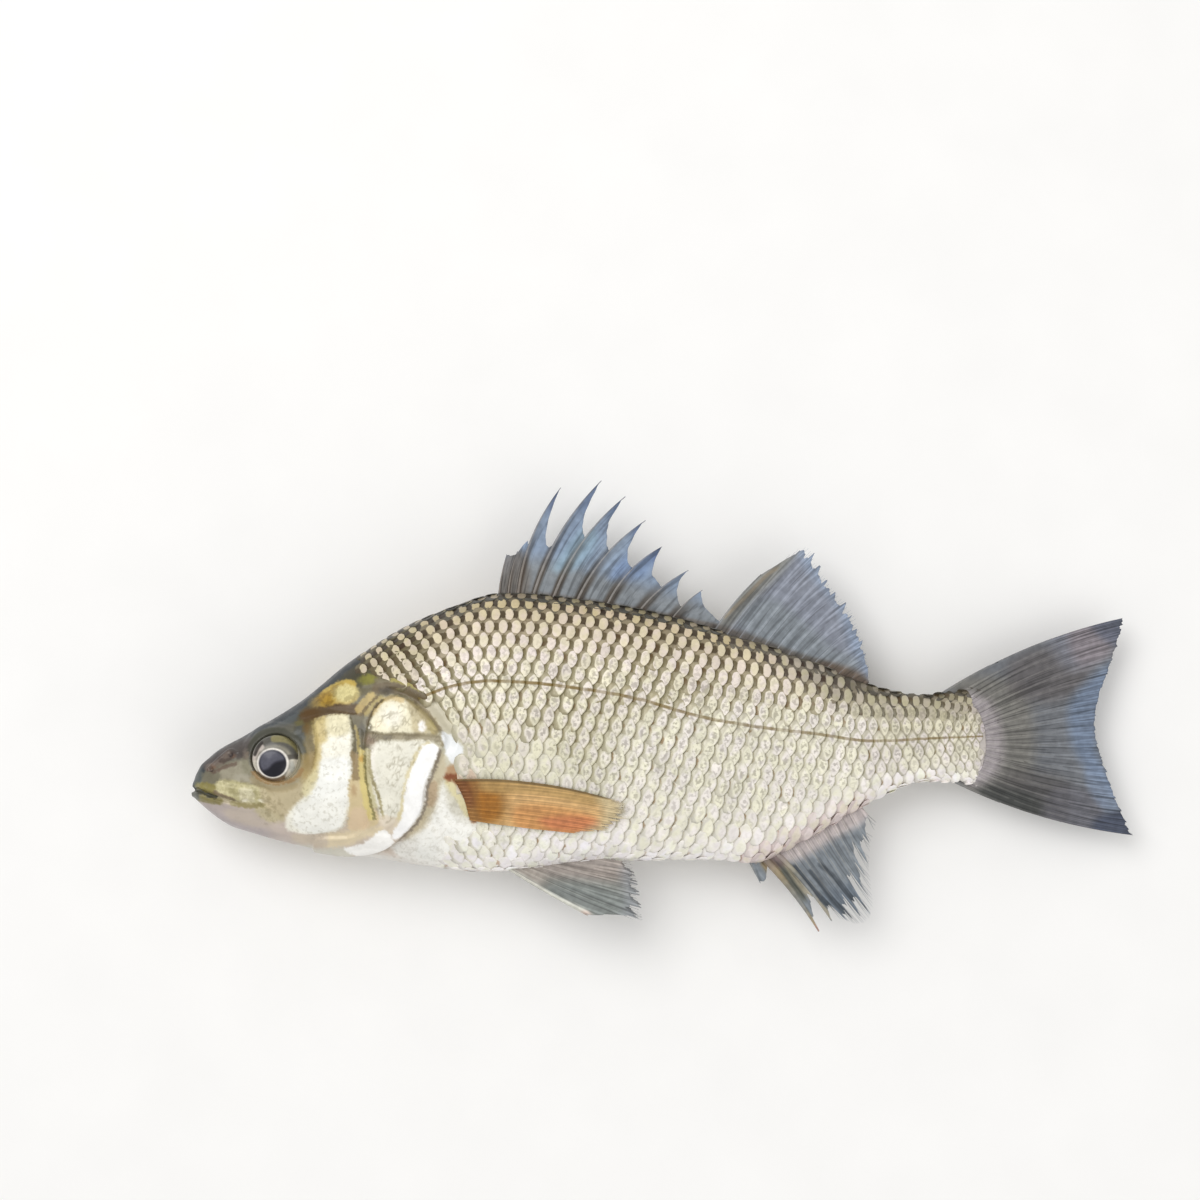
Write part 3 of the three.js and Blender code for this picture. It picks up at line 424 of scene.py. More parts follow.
# Skin paint. The base runs from the belly, 0, to the back, 1.
headPaint = {
    "base": colourLine([(0, "#cfc1b4"), (0.12, "#c6b7a6"), (0.3, "#c2b699"), (0.45, "#a89f86"),
                        (0.6, "#8f8871"), (0.75, "#757160"), (0.88, "#5c5a50"), (1, "#4d5153")]),
    "strokes": [
        # forehead, nape and snout
        ("area", "#4a5052", 0.94, 2.5, [(1, 4), (4, 7), (9, 10.6), (16, 14), (22, 16.6), (29, 18), (34, 23),
                                        (43, 29.5), (46, 37), (30, 25), (15, 17), (5, 12), (-1, 6)]),
        ("area", "#49452f", 0.85, 2.5, [(29, 18.5), (34, 24), (40, 29), (46, 36), (52, 35), (51, 28),
                                        (44, 26), (36, 25), (32, 21)]),
        ("area", "#403d30", 0.7, 2, [(38, 27), (42, 31), (46, 32), (45, 28), (42, 27)]),
        ("line", "#262d33", 0.9, 1, (2.4, [(0.4, 4), (2, 7), (5, 9.8), (15, 15), (30, 22.8), (42, 31.2),
                                           (52, 36.8)])),
        ("area", "#4d4442", 0.9, 1.4, [(3.2, 8), (6, 10.2), (11, 12.6), (11, 10.6), (8, 8.8), (4.6, 7)]),
        ("area", "#4f4744", 0.88, 2, [(8.6, 11), (13, 14), (16.5, 14), (16, 10.4), (13, 9)]),
        ("spot", "#877868", 0.6, 0.6, (15, 10, 0.9, 1.2)),
        ("area", "#9c9580", 0.9, 1.6, [(7.5, 6.6), (11, 8.2), (14.5, 8.4), (16.3, 6), (16.5, 3.4), (13, 2.8),
                                       (8.5, 3)]),
        ("area", "#8f8b74", 0.7, 1.2, [(13.6, 8.6), (15.8, 8), (16.4, 5.4), (14, 4.8)]),
        ("area", "#a8a290", 0.7, 1.2, [(11.5, 5), (16, 4.8), (16.5, 3), (12, 2.9)]),
        ("area", "#746f5c", 0.9, 1.4, [(1.6, 5.4), (4, 6.4), (7.6, 5.8), (7.5, 3.4), (4, 3), (2, 3.6)]),
        ("area", "#4a5252", 0.85, 1.2, [(0, 2.6), (0.6, 6), (2.6, 7.4), (3, 4.4), (1.8, 2.8)]),
        # jaws
        ("area", "#8b8148", 0.92, 0.8, [(0.6, 1.9), (1.6, 3.6), (4, 3.6), (7, 2.6), (7.4, 0.6), (5.4, 0.4),
                                        (2, 1.6)]),
        ("line", "#6b6130", 0.8, 0.4, (0.4, [(1.6, 2), (4, 1.5), (6.6, 0.3)])),
        ("area", "#b9b184", 0.94, 1, [(7, 3.6), (10, 3.9), (16, 2.4), (20, 0.8), (20.6, -1.6), (17, -2.4),
                                      (12, -1.6), (8, -0.2), (6.8, 1.4)]),
        ("area", "#cfc79c", 0.85, 0.9, [(7, 3.6), (9.6, 3.8), (9.8, 0.8), (7.4, 1)]),
        ("area", "#d5ceb0", 0.8, 1, [(12.6, 1.4), (16, 1.2), (16.6, -1.8), (13, -1.2)]),
        ("line", "#6b5a4a", 0.75, 0.5, (0.4, [(6.5, 1), (9, -0.2), (11, -1)])),
        ("spot", "#f2ecd8", 0.85, 0.5, (18.5, -1.7, 1.1, 0.6)),
        ("spot", "#f2ecd8", 0.85, 0.5, (14, -1.4, 0.9, 0.5)),
        ("area", "#b7aba6", 0.95, 1.2, [(0.2, 0.4), (4, -0.9), (8, -1.8), (12, -2.9), (17, -3.4), (20, -5.5),
                                        (24, -10.5), (27, -15.5), (15, -11.5), (5, -6), (1, -1.5)]),
        ("area", "#7f7648", 0.9, 0.8, [(1.4, 0.7), (5, -0.2), (8, -1.2), (7.6, -2), (4, -1.5), (1, -0.8)]),
        ("area", "#4c4f48", 0.85, 0.9, [(-0.6, 1.6), (1.6, 1.6), (1.8, -0.4), (0.2, -1.2)]),
        ("area", "#bfb2a4", 0.85, 1.6, [(8, -3.8), (19, -4.6), (22, -8.6), (17, -8.8), (9, -6)]),
        ("area", "#c3b892", 0.8, 1.4, [(16, -3.6), (20.6, -2.8), (23.6, -6.6), (22.4, -8.4), (18, -6.6)]),
        ("area", "#cbbdb2", 0.8, 1.4, [(20, -8), (23.6, -8), (26, -10.8), (24, -11.4), (20, -10)]),
        ("line", "#a59ca0", 0.5, 2.4, (1, [(3, -4), (10, -8.8), (17, -11.2), (22, -12.8)])),
        ("area", "#c5b7ab", 0.7, 6, [(20, -10), (30, -11), (34, -19), (18, -16)]),
        # painted shadow under the lower edge of the upper jaw
        ("line", "#8f8458", 0.85, 0.6, (0.6, [(10.5, -2), (12, -2.4), (15, -3), (18.5, -2.8)])),
        # painted shade in the slit between the lips
        ("line", "#45443a", 0.9, 0.35, (0.5, [(-0.5, 1.7), (1.5, 1.5), (4, 0.5), (6, -0.3)])),
        # between the eye and the cheek
        ("area", "#c0b290", 0.85, 1.6, [(18, 1), (24, 0.5), (28, 2), (30.5, 1), (27, -4.4), (22, -6.4),
                                        (19, -3)]),
        ("area", "#75673f", 0.92, 2, [(28.6, 9), (29.8, 14), (31, 18), (33.6, 17.8), (33.8, 12), (33, 8),
                                      (30.4, 6)]),
        ("area", "#564522", 0.8, 2, [(28, 15.4), (29.5, 19), (33, 20.6), (34.4, 18.6), (32, 16.6),
                                     (30.4, 14.6)]),
        ("area", "#4d5150", 0.8, 1.5, [(27.8, 13), (28.3, 16.6), (30, 16.8), (30.4, 13.6), (29.6, 10.6)]),
        ("spot", "#6d5428", 0.7, 0.6, (30.9, 15.5, 1, 1.5)),
        ("area", "#9a8557", 0.85, 1.5, [(29, 4.5), (30.6, 9), (32.8, 9.6), (32.8, 6), (31, 2.4)]),
        ("spot", "#b59f6c", 0.7, 0.7, (30, 3.3, 1.7, 1.9)),
        # cheek
        ("area", "#f3f0e1", 0.97, 1.2, [(33.8, 18.2), (41.6, 18.9), (42.5, 13.6), (42, 8.6), (41.5, 1.5),
                                        (40.4, -5), (38, -10), (33.5, -11.2), (27.4, -10.9), (23.6, -9.3),
                                        (24.6, -5.5), (29, -1.5), (32.4, 3), (33.6, 8), (33.7, 12)]),
        ("area", "#cdb97c", 0.9, 1.6, [(33.2, 12), (33.2, 18.2), (36.2, 18.7), (36.8, 15.5), (35.4, 11.6)]),
        ("area", "#e2d9b3", 0.85, 1.6, [(36.4, 13.6), (36.6, 18.6), (41.4, 18.8), (42, 13.8)]),
        ("line", "#cdb87c", 0.8, 0.9, (0.8, [(33.6, 13), (33.6, 9), (32.9, 5.4), (31.6, 2.6)])),
        ("area", "#f7f7f1", 0.92, 2, [(34, 7), (41.4, 7.5), (41, 1), (39.8, -3), (30.6, -3), (31, 0),
                                      (33, 3)]),
        ("area", "#ddd3a8", 0.8, 1.6, [(28.6, 0), (31.4, 4.6), (33.2, 5.4), (32.4, 1.4), (29.6, -1.6)]),
        ("area", "#f2f1e9", 0.9, 2, [(28, -3), (40, -3), (38.8, -8), (37.4, -10.2), (28, -10.6), (25.4, -8),
                                     (26, -5)]),
        # behind the cheek
        ("area", "#d3c096", 0.95, 0.8, [(41.7, 3), (45.6, 3), (46, -3), (47.6, -9), (44, -10.6), (40, -11),
                                        (40.3, -5)]),
        ("area", "#dcc4a4", 0.8, 1.2, [(41, -5.6), (44.2, -5.6), (45, -10), (40, -10.8)]),
        ("spot", "#b59a74", 0.8, 0.6, (41.9, -0.8, 0.7, 1.4)),
        ("area", "#97835f", 0.95, 0.7, [(42.2, 9.4), (46, 9.6), (45.8, 2.4), (43.4, 1.6), (41.9, 1.8),
                                        (42, 5)]),
        # olive-brown skin in the groove between cheek and gill cover, darkened with painted shade
        ("area", "#6d6650", 0.94, 0.6, [(42, 19.2), (42.9, 13), (42.8, 8.8), (46.5, 8.8), (46.7, 13),
                                        (45.4, 15.6), (46.3, 19.4), (43.6, 20)]),
        ("line", "#b5a368", 0.8, 0.35, (0.4, [(43.4, 15.4), (43.9, 12), (43.8, 9)])),
        ("spot", "#5c584c", 0.85, 0.5, (45.2, 14.4, 0.8, 1.8)),
        ("line", "#dccb86", 0.92, 0.5, (1.3, [(44.5, 8.6), (44.4, 4), (44.4, 0), (44.9, -4), (45.6, -7.4)])),
        ("spot", "#c69a4a", 0.75, 0.6, (44.4, 7, 0.6, 0.9)),
        ("line", "#cfc79c", 0.85, 0.5, (0.7, [(46, 9), (45.9, 4), (46.4, -1.5), (47.2, -5)])),
        ("line", "#7f7748", 0.85, 0.3, (0.35, [(45.3, 8), (45.2, 3), (45.7, -2), (46.8, -8)])),
        # gill cover
        ("area", "#ece5c8", 0.96, 1, [(46.9, 14.8), (48.6, 18.4), (50.6, 20.9), (53.5, 22), (56.3, 20.8),
                                      (58, 17.5), (58.6, 13), (52, 12.8), (48.6, 13.4)]),
        ("line", "#cdb684", 0.85, 0.7, (1, [(48, 18.2), (50.3, 20.9), (53, 21.8), (55.6, 21)])),
        ("spot", "#f2eee0", 0.8, 0.6, (53, 17, 2.8, 2.8)),
        ("spot", "#f3e9cc", 0.8, 0.5, (49.2, 15.2, 1.1, 1.3)),
        ("area", "#c0b38d", 0.85, 1.4, [(57, 20), (57.8, 16.5), (58.2, 12.6), (61.6, 12.2), (61.4, 15),
                                        (59.6, 18.4)]),
        ("area", "#a8996f", 0.92, 0.8, [(56.6, 21.2), (60, 19.9), (62.8, 16.4), (64.6, 12.2), (62.8, 11.8),
                                        (61.2, 14.8), (58.8, 18.4)]),
        ("spot", "#aea06c", 0.7, 0.6, (62.9, 14.2, 1.2, 2)),
        ("spot", "#f4f1ee", 0.9, 0.35, (60.3, 14, 0.9, 1.5)),
        ("line", "#8d8064", 0.85, 0.35, (0.5, [(59, 20.4), (61.5, 18.2), (64, 14.2), (65.3, 11.4),
                                               (65.1, 9)])),
        ("area", "#eeebdc", 0.96, 1, [(46.6, 9.4), (48, 10.9), (56, 10.6), (63, 10), (61.8, 7.6), (58.8, 3.5),
                                      (56, -1.5), (53.4, -6.5), (51.2, -9.6), (48.8, -9.8), (47.6, -5),
                                      (46.6, 2)]),
        ("line", "#a3976c", 0.8, 0.35, (0.4, [(46.8, 9), (46.5, 5), (47.1, 1), (48.3, -3), (48.9, -8)])),
        ("line", "#f5f0e4", 0.8, 0.4, (0.7, [(47.6, 9), (47.4, 5.5), (48, 1.5)])),
        ("line", "#dccfa4", 0.85, 0.6, (1.2, [(61.5, 9.3), (59.3, 7.5), (57.5, 4.5), (56, 1), (54.8, -3),
                                              (53.8, -7), (52.2, -10)])),
        ("area", "#e0d2bc", 0.8, 1, [(48, -7.6), (52, -8.2), (52.8, -10.8), (50.2, -12), (48, -10.8)]),
        ("spot", "#8b7560", 0.75, 0.7, (47, 11.6, 1.4, 1.6)),
        ("line", "#8f8469", 0.85, 0.7, (1, [(48, 12.7), (50, 12.3), (54, 12.1), (58, 11.7), (62, 11.2),
                                            (64.4, 10.6)])),
        ("spot", "#6f6650", 0.75, 0.6, (51.5, 11.9, 1.3, 0.6)),
        ("spot", "#776c52", 0.6, 0.6, (58, 11.7, 1.6, 0.5)),
        ("spot", "#6b6248", 0.8, 0.4, (47, 14.7, 0.8, 0.8)),
        ("spot", "#f0ece0", 0.9, 0.4, (47, 14.7, 0.35, 0.35)),
        # a band of painted shade behind the gill cover's rim, over grey-tan and brown-tan skin
        ("area", "#c2b698", 0.85, 1.2, [(62, 2), (62.8, 5), (64.8, 7.4), (65.6, 4), (64.4, 0), (62.8, -5),
                                        (60.6, -10), (56, -14.6), (53, -15), (56.6, -11), (59.6, -5),
                                        (60.6, -1)]),
        ("area", "#b39a7c", 0.7, 1, [(60.6, -0.6), (62.6, 0), (62.4, -5.6), (60, -6.4)]),
        ("area", "#fcfbf9", 0.98, 0.6, [(60.5, 9.3), (63.2, 9.4), (64.2, 8.5), (63.6, 6.2), (62.2, 3.4),
                                        (61.2, 1), (60.2, -1.2), (59.9, -3.5), (59, -6.5), (57.3, -9.2),
                                        (55, -11.7), (52.5, -13.2), (51, -13.6), (50.8, -12.4), (52, -10.5),
                                        (53.5, -8), (54.3, -4.5), (54.9, -1.5), (56, 1.5), (57.2, 4),
                                        (58.8, 7)]),
        ("area", "#e0d0ae", 0.92, 1.4, [(33, -11.8), (39, -11.2), (44, -10.6), (48, -10), (48.6, -11.6),
                                        (44, -12.6), (40, -14), (33, -14.2)]),
        ("area", "#c8baa6", 0.92, 1.4, [(25, -11.2), (30, -11.4), (34, -11.8), (34, -14), (29, -14.2),
                                        (25, -13)]),
        ("area", "#cfccbc", 0.9, 1.2, [(25, -14.4), (32, -14.6), (39, -15), (40, -17.6), (32, -17.4),
                                       (25, -15.6)]),
        ("area", "#fcfaf5", 0.98, 0.7, [(38, -14.9), (42, -14.2), (44.5, -13.2), (46.5, -11.9), (48.2, -11),
                                        (49.6, -11.6), (50.6, -13), (51, -14.8), (49, -16.2), (46, -17.3),
                                        (42, -17.2), (39, -16)]),
        # painted shade in the crease along the gill cover's rear and lower rim
        ("line", "#857a6c", 0.85, 0.35, (0.35, [(64.4, 8), (63.7, 5.5), (61.7, 1), (60.5, -1.5), (60, -5),
                                                (58.8, -8), (57, -10.5), (54.2, -12.8), (52, -14.6)])),
        ("line", "#a89c8c", 0.7, 0.4, (0.25, [(52, -14.6), (49, -16.5), (45, -17.5), (38, -17.4)])),
        # gold patches and the dark arc over the gill cover
        ("area", "#b79b52", 0.95, 1, [(32.5, 21.7), (35, 24.2), (39, 26.3), (42.6, 26.8), (44.8, 25),
                                      (44.6, 22.4), (41.8, 20.7), (38.6, 20.9), (34.8, 20.6)]),
        ("area", "#665f46", 0.9, 1.6, [(44.8, 22.6), (45, 27.6), (51, 28), (56, 27), (61, 23.6), (65, 20.6),
                                       (62, 19.4), (58, 21), (53, 22.6), (50, 22), (47, 22.8)]),
        ("line", "#594428", 0.92, 0.9, (1.7, [(30.6, 18.6), (34, 19.4), (39, 19.9), (45.6, 19.3)])),
        ("spot", "#573c14", 0.85, 0.6, (32, 19.4, 2.4, 1.5)),
        ("spot", "#ad892c", 0.9, 0.5, (36, 22.6, 2.6, 1.6)),
        ("spot", "#86713f", 0.85, 0.7, (33.2, 21.9, 1.5, 1.1)),
        ("spot", "#e6dba0", 0.9, 0.4, (41.5, 23.8, 3.2, 2.4)),
        ("line", "#c9ad55", 0.8, 0.5, (0.6, [(36, 24.7), (39.5, 26.3), (42, 26.7), (43.8, 26)])),
        ("line", "#c3ab6b", 0.85, 0.8, (1.3, [(44.6, 19.4), (46, 21), (48, 22.6)])),
        ("line", "#b3a166", 0.85, 0.7, (1.1, [(46.4, 18.6), (48, 20.2), (50.3, 21.8)])),
        ("line", "#6b5a35", 0.85, 0.3, (0.4, [(45, 18.2), (47, 20.4), (49.5, 22.4)])),
        ("line", "#5d5138", 0.85, 0.35, (0.5, [(46.6, 15.8), (47.3, 17.7), (48.8, 19.9), (50.6, 21.5)])),
        ("area", "#4f4b38", 0.8, 1.2, [(44.4, 25), (44.8, 28), (46.2, 28.4), (46.2, 25.8)]),
        ("spot", "#8f8c3e", 0.9, 0.45, (47.3, 26.8, 2.4, 1.3)),
        ("line", "#857c64", 0.8, 1, (1, [(50, 26), (52.5, 26.3), (55, 25.9)])),
        ("line", "#b5a95e", 0.75, 0.8, (1, [(54, 26.3), (57, 25.4), (60, 23.8)])),
        ("line", "#635438", 0.92, 0.8, (1.7, [(49.5, 24.3), (52.5, 24.5), (56, 23.7), (58.5, 22.5),
                                              (60.5, 21.2), (63.5, 21.3)])),
        ("spot", "#453b2a", 0.85, 0.6, (51.8, 23.8, 1.7, 0.8)),
        # nostrils
        ("line", "#75665a", 0.7, 0.9, (0.8, [(4.8, 7.2), (8, 8.6), (10.5, 10.4)])),
        ("line", "#5c483c", 0.7, 0.6, (0.4, [(4.6, 6.8), (6.5, 6.3), (9, 7.2), (12, 7.8)])),
        ("line", "#4a3c36", 0.7, 0.6, (0.4, [(8, 9), (10.3, 9), (11.4, 10.4)])),
        ("spot", "#7d5a44", 0.6, 0.8, (6.2, 7.4, 0.6, 0.4)),
        ("spot", "#7d5a44", 0.6, 0.8, (11.6, 9.8, 0.6, 0.5)),
        # painted shade in the nostril openings
        ("spot", "#3a3233", 0.6, 0.6, (10.9, 10.3, 0.6, 0.4)),
        ("spot", "#3a3233", 0.5, 0.6, (5.5, 6.7, 0.4, 0.3)),
        # round the eye
        ("line", "#47473c", 0.88, 0.8, (0.8, [(16.3, 11), (17.5, 13.5), (19.5, 14.8), (23, 15.3), (26, 14.5),
                                              (28.5, 12.7), (29.7, 10)])),
        ("line", "#4d4a42", 0.8, 0.5, (0.5, [(16.2, 11.5), (16.3, 8.5), (17, 6)])),
        ("line", "#97774c", 0.8, 0.5, (0.6, [(16.7, 5.4), (18, 3.8), (21, 2.6), (25, 2.5), (27.8, 3.8),
                                             (29, 5.4)])),
        ("line", "#a5946e", 0.6, 0.9, (0.8, [(16.4, 3.6), (19, 1.6), (23, 0.8), (27, 1.4)])),
        ("spot", "#6b663c", 0.7, 0.6, (29, 17, 1.1, 0.7)),
        # shoulder and chest
        ("area", "#fbfaf3", 0.92, 2.5, [(56, -18), (62, -7), (64.5, -1), (66, -8), (72, -13), (76, -20),
                                        (64, -24)]),
        ("area", "#f0efe8", 0.88, 1.6, [(50, -16.4), (54, -14.4), (60, -12), (62, -17), (60, -21),
                                        (52, -19)]),
        # a greyer line of painted shade along the belly's outline
        ("line", "#e6e3dc", 0.85, 1.5, (1.4, [(44, -18.6), (52, -20.4), (60, -22.3), (70, -23.9)])),
        ("area", "#ddd3a6", 0.92, 1, [(65, 0.8), (67, -0.3), (68.2, -2.5), (69.5, -5), (71, -7), (71.2, -9.8),
                                      (69.5, -9.3), (68.5, -7.5), (67.5, -5), (65.8, -2.5)]),
        ("area", "#eef0f1", 0.97, 0.8, [(65, 12.5), (66.8, 11.8), (69, 9.8), (70.2, 8), (69.9, 6), (69, 4.5),
                                        (67.5, 4.3), (66, 6), (65.5, 8.5)]),
        ("area", "#b38d68", 0.88, 1.4, [(65.8, 3.4), (68.6, 4), (72, 3.6), (75, 2), (75, 0), (68.6, 0),
                                        (65.6, 0.8)]),
        ("line", "#7a3f22", 0.85, 1, (0.8, [(65.8, 0.8), (69, 0.5), (72, 0), (76, -0.6)])),
        # reddish-brown in front of the pectoral fin's base, deepened with painted shade
        ("line", "#8a5a34", 0.8, 0.8, (0.8, [(67.8, 0), (69.6, -3), (71, -6), (71.8, -10.6)])),
    ],
    # how much stipple, netting and mottling shows
    "marks": [
        ("area", (0.15, 0, 0.4), 1, 2, [(-2, 0), (16, -1), (17, 15), (0, 12)]),
        ("area", (0.6, 0.1, 0.8), 1, 1, [(7, 3.8), (20, 1.4), (24, -6), (18, -8), (16, -3), (8, -1)]),
        ("area", (0.5, 0.8, 0.2), 1, 2, [(33, 6), (33, 18.6), (41.6, 18.8), (42.4, 8)]),
        ("area", (0.6, 0.15, 0), 1, 2, [(27, -1), (33, 6), (42, 7), (41, -2), (38, -11), (25, -10.8)]),
        ("area", (0.3, 0.9, 0.2), 1, 1.5, [(47, 14.6), (52, 22), (57, 21.4), (65, 10), (59, 3), (52, -9),
                                           (48.5, -9), (46.6, 4)]),
        ("area", (0.1, 0.1, 0), 1, 1, [(60.5, 9.4), (64, 9), (60, -4), (55, -12), (38, -17.4), (38, -14.6),
                                       (48, -11), (54.3, -4.5)]),
        ("area", (0.6, 0.3, 1), 1, 1, [(32.5, 21.9), (39, 26.5), (44.7, 25), (44.2, 22), (38.6, 20.7)]),
        ("area", (0.1, 0, 0.5), 1, 1.5, [(44, 28), (52, 27), (63, 21), (60, 19), (50, 22), (46, 19)]),
        ("area", (0.5, 0.45, 0.1), 1, 2, [(61, 3), (65, 2), (72, -13), (80, -22), (56, -24), (50, -18),
                                          (58, -9)]),
    ],
}
flankAreas = {  # what several paints of the flank share
    "rear": [(108, 6), (132, 12), (150, 11), (175, 6), (172, -9), (150, -17), (112, -20)],
    "shoulder": [(64, 10), (80, 12), (94, 6), (100, -4), (94, -16), (66, -20)],
    "behindGills": [(65, 3.6), (70, 3), (74, 1.2), (74, -0.8), (66, -0.6)],
    "nape": [(42, 34), (60, 41), (62, 30), (58, 25), (46, 27)],
    "analFoot": [(139, -24.5), (150, -20.5), (170, -12.5), (175, -14), (150, -28), (138, -29)],
    "tailFoot": [(201, 13), (209, 6), (209, -6), (202, -13), (202, -6), (203, 4)],
}
flankPaint = {
    # colours between the rows of scales, of the bar behind each scale's rim, which is dark pigment with
    # painted shade from the rim ahead, and of the scale itself
    "net": colourLine([(0, "#f8f3f0"), (0.07, "#f1ece5"), (0.17, "#dcd8ca"), (0.33, "#bcb69d"),
                       (0.46, "#b0a98c"), (0.57, "#a79e80"), (0.71, "#a59c80"), (0.8, "#a69b80"),
                       (0.87, "#a0937a"), (0.93, "#8f8268"), (0.97, "#665f4f"), (1, "#4d4c47")]),
    "pigmentAndShadeBar": colourLine([(0, "#f4efea"), (0.07, "#ebe6dd"), (0.17, "#d4cfbf"), (0.33, "#b3ad92"),
                       (0.46, "#a9a283"), (0.58, "#9a9274"), (0.71, "#8e8668"), (0.78, "#857b5b"),
                       (0.87, "#675b3f"), (0.943, "#4a3d2a"), (1, "#3f3a33")]),
    "shine": colourLine([(0, "#fffdfa"), (0.12, "#fbf9f3"), (0.22, "#efece2"), (0.33, "#e9e6d8"),
                         (0.46, "#e6e2d2"), (0.57, "#e5e0d0"), (0.71, "#e9e3d4"), (0.78, "#ece4d8"),
                         (0.85, "#ebe1d0"), (0.93, "#e2d5bd"), (0.97, "#d0c09f"), (1, "#9c937c")]),
    "strokes": [
        ("area", "#cdb9ae", 0.5, 4, [(84, -22.5), (110, -21.5), (112, -27), (80, -27)]),
        ("area", "#c9b4ab", 0.7, 4, flankAreas["analFoot"]),
        ("area", "#8e8474", 0.7, 3, [(160, 24), (172, 18), (175, 14), (165, 17), (158, 21)]),
        ("area", "#4a4740", 0.9, 2, [(172, 18), (185, 14.6), (200, 14.6), (200, 11.6), (185, 11.4),
                                     (172, 14.4)]),
        ("area", "#b9b1af", 0.8, 4, [(199, 13), (209, 6), (209, -6), (200, -13), (197, -6), (198, 4)]),
        ("area", "#7d7a76", 0.95, 1.6, [(204.6, 10), (212, 9), (212, -9), (204.6, -10), (204.4, -4),
                                        (205.2, 0), (204.4, 4)]),
    ],
    "netStrokes": [
        ("area", "#d9d5c7", 0.65, 8, flankAreas["rear"]),
        ("area", "#b18c68", 0.5, 2, flankAreas["behindGills"]),
        ("area", "#dcd8c8", 0.75, 5, flankAreas["shoulder"]),
        ("area", "#b5afa0", 0.6, 6, [(172, 10), (190, 9), (207, 8), (207, -8), (190, -7), (172, -8)]),
        ("area", "#cbb8b4", 0.7, 4, flankAreas["analFoot"]),
        ("area", "#756d60", 0.8, 5, [(138, 33), (160, 23), (172, 18), (200, 14), (200, 11), (185, 10.5),
                                     (172, 12), (160, 16), (146, 25)]),
        ("area", "#5b5236", 0.7, 3, flankAreas["nape"]),
        ("area", "#4f4a40", 0.85, 2, [(168, 21), (180, 15.4), (200, 14.6), (206, 11), (200, 10.4),
                                      (180, 11.4), (168, 15.6)]),
        ("area", "#9b9496", 0.5, 4, flankAreas["tailFoot"]),
    ],
    # the bar behind each rim, by region: dark pigment with painted shade
    "pigmentAndShadeBarStrokes": [
        ("area", "#c6c1ad", 0.65, 8, flankAreas["rear"]),
        ("area", "#cbc6b2", 0.8, 5, flankAreas["shoulder"]),
        ("area", "#aaa489", 0.6, 6, [(172, 8), (190, 7), (207, 8), (207, -8), (190, -7), (172, -8)]),
        ("area", "#cbb8b4", 0.7, 4, flankAreas["analFoot"]),
        ("area", "#665f4b", 0.85, 4, [(165, 19), (203, 14), (203, 6.5), (180, 7), (166, 9)]),
        ("area", "#4e453d", 0.85, 5, [(136, 34), (160, 23), (172, 18), (172, 13), (160, 16), (146, 25)]),
        ("area", "#8b8486", 0.5, 4, flankAreas["tailFoot"]),
    ],
    "shineStrokes": [
        ("area", "#f6f3e8", 0.8, 8, [(108, 8), (132, 14), (150, 12), (175, 6), (172, -9), (150, -17),
                                     (112, -20)]),
        ("area", "#c9a883", 0.5, 2, flankAreas["behindGills"]),
        ("area", "#b2ac95", 0.8, 5, [(150, 29), (165, 21), (176, 16), (203, 14), (203, 6.5), (180, 7.5),
                                     (160, 15)]),
        ("area", "#b5ad9f", 0.45, 5, [(140, 34), (160, 24), (172, 18), (172, 13), (158, 19)]),
        ("area", "#77705f", 0.8, 1.6, [(168, 21), (180, 15.4), (200, 14.6), (206, 11), (200, 11.2),
                                       (180, 12.4), (168, 16.6)]),
        ("area", "#e9e4da", 0.6, 6, [(172, 5), (190, 4), (207, 6), (207, -8), (190, -7), (172, -6)]),
        ("area", "#e6d6cd", 0.6, 4, flankAreas["analFoot"]),
        ("area", "#cfc4a8", 0.6, 3, flankAreas["nape"]),
        ("area", "#bbb3b8", 0.7, 4, [(200, 13), (209, 6), (209, -6), (201, -13), (201, -6), (202, 4)]),
    ],
    "fleckStrokes": [
        ("area", 1.0, 1, 3, [(92, 12), (112, 10), (114, 0), (96, 0)]),
        ("area", 0.5, 0.8, 6, [(66, 12), (80, 12), (94, 4), (98, -16), (72, -14)]),
    ],
    "bare": [(-5, 60), (41, 38), (43, 34), (45.5, 31), (47.5, 28.5), (51, 27), (55, 26.2), (59, 24.5),
             (62.5, 22), (65, 18), (67, 13), (70.5, 10.5), (71.5, 7), (69, 4), (68, 1), (71, -3), (72.5, -8),
             (71.5, -12), (69, -15), (64, -18), (58, -30), (-5, -40)],
}


def upShare(x, y):  # 0 on the belly's edge, 1 on the back's
    return np.clip((y - body["belly"](x)) / np.maximum(body["back"](x) - body["belly"](x), 0.1), 0, 1)


def skinLook(x, y):
    trunk = ramp(44, 56, x + 0.35 * (y - 20))[:, None]
    up = upShare(x, y)
    bare = flankPaint["net"](up) * 0.55 + flankPaint["shine"](up) * 0.45
    look = headPaint["base"](up) * (1 - trunk) + bare * trunk
    roughX = x + 0.4 * waver(x * 1.7, y * 1.7, 3.3) + 0.15 * waver(x * 5, y * 5, 8.1)
    roughX += 1.8 * ramp(196, 202, x) * waver(y * 1.9, x * 0.2, 4.7)
    roughY = y + 0.4 * waver(x * 1.7, y * 1.7, 13.3) + 0.15 * waver(x * 5, y * 5, 18.1)
    paintOver(look, roughX, roughY, flankPaint["strokes"])
    return paintOver(look, roughX, roughY, headPaint["strokes"])


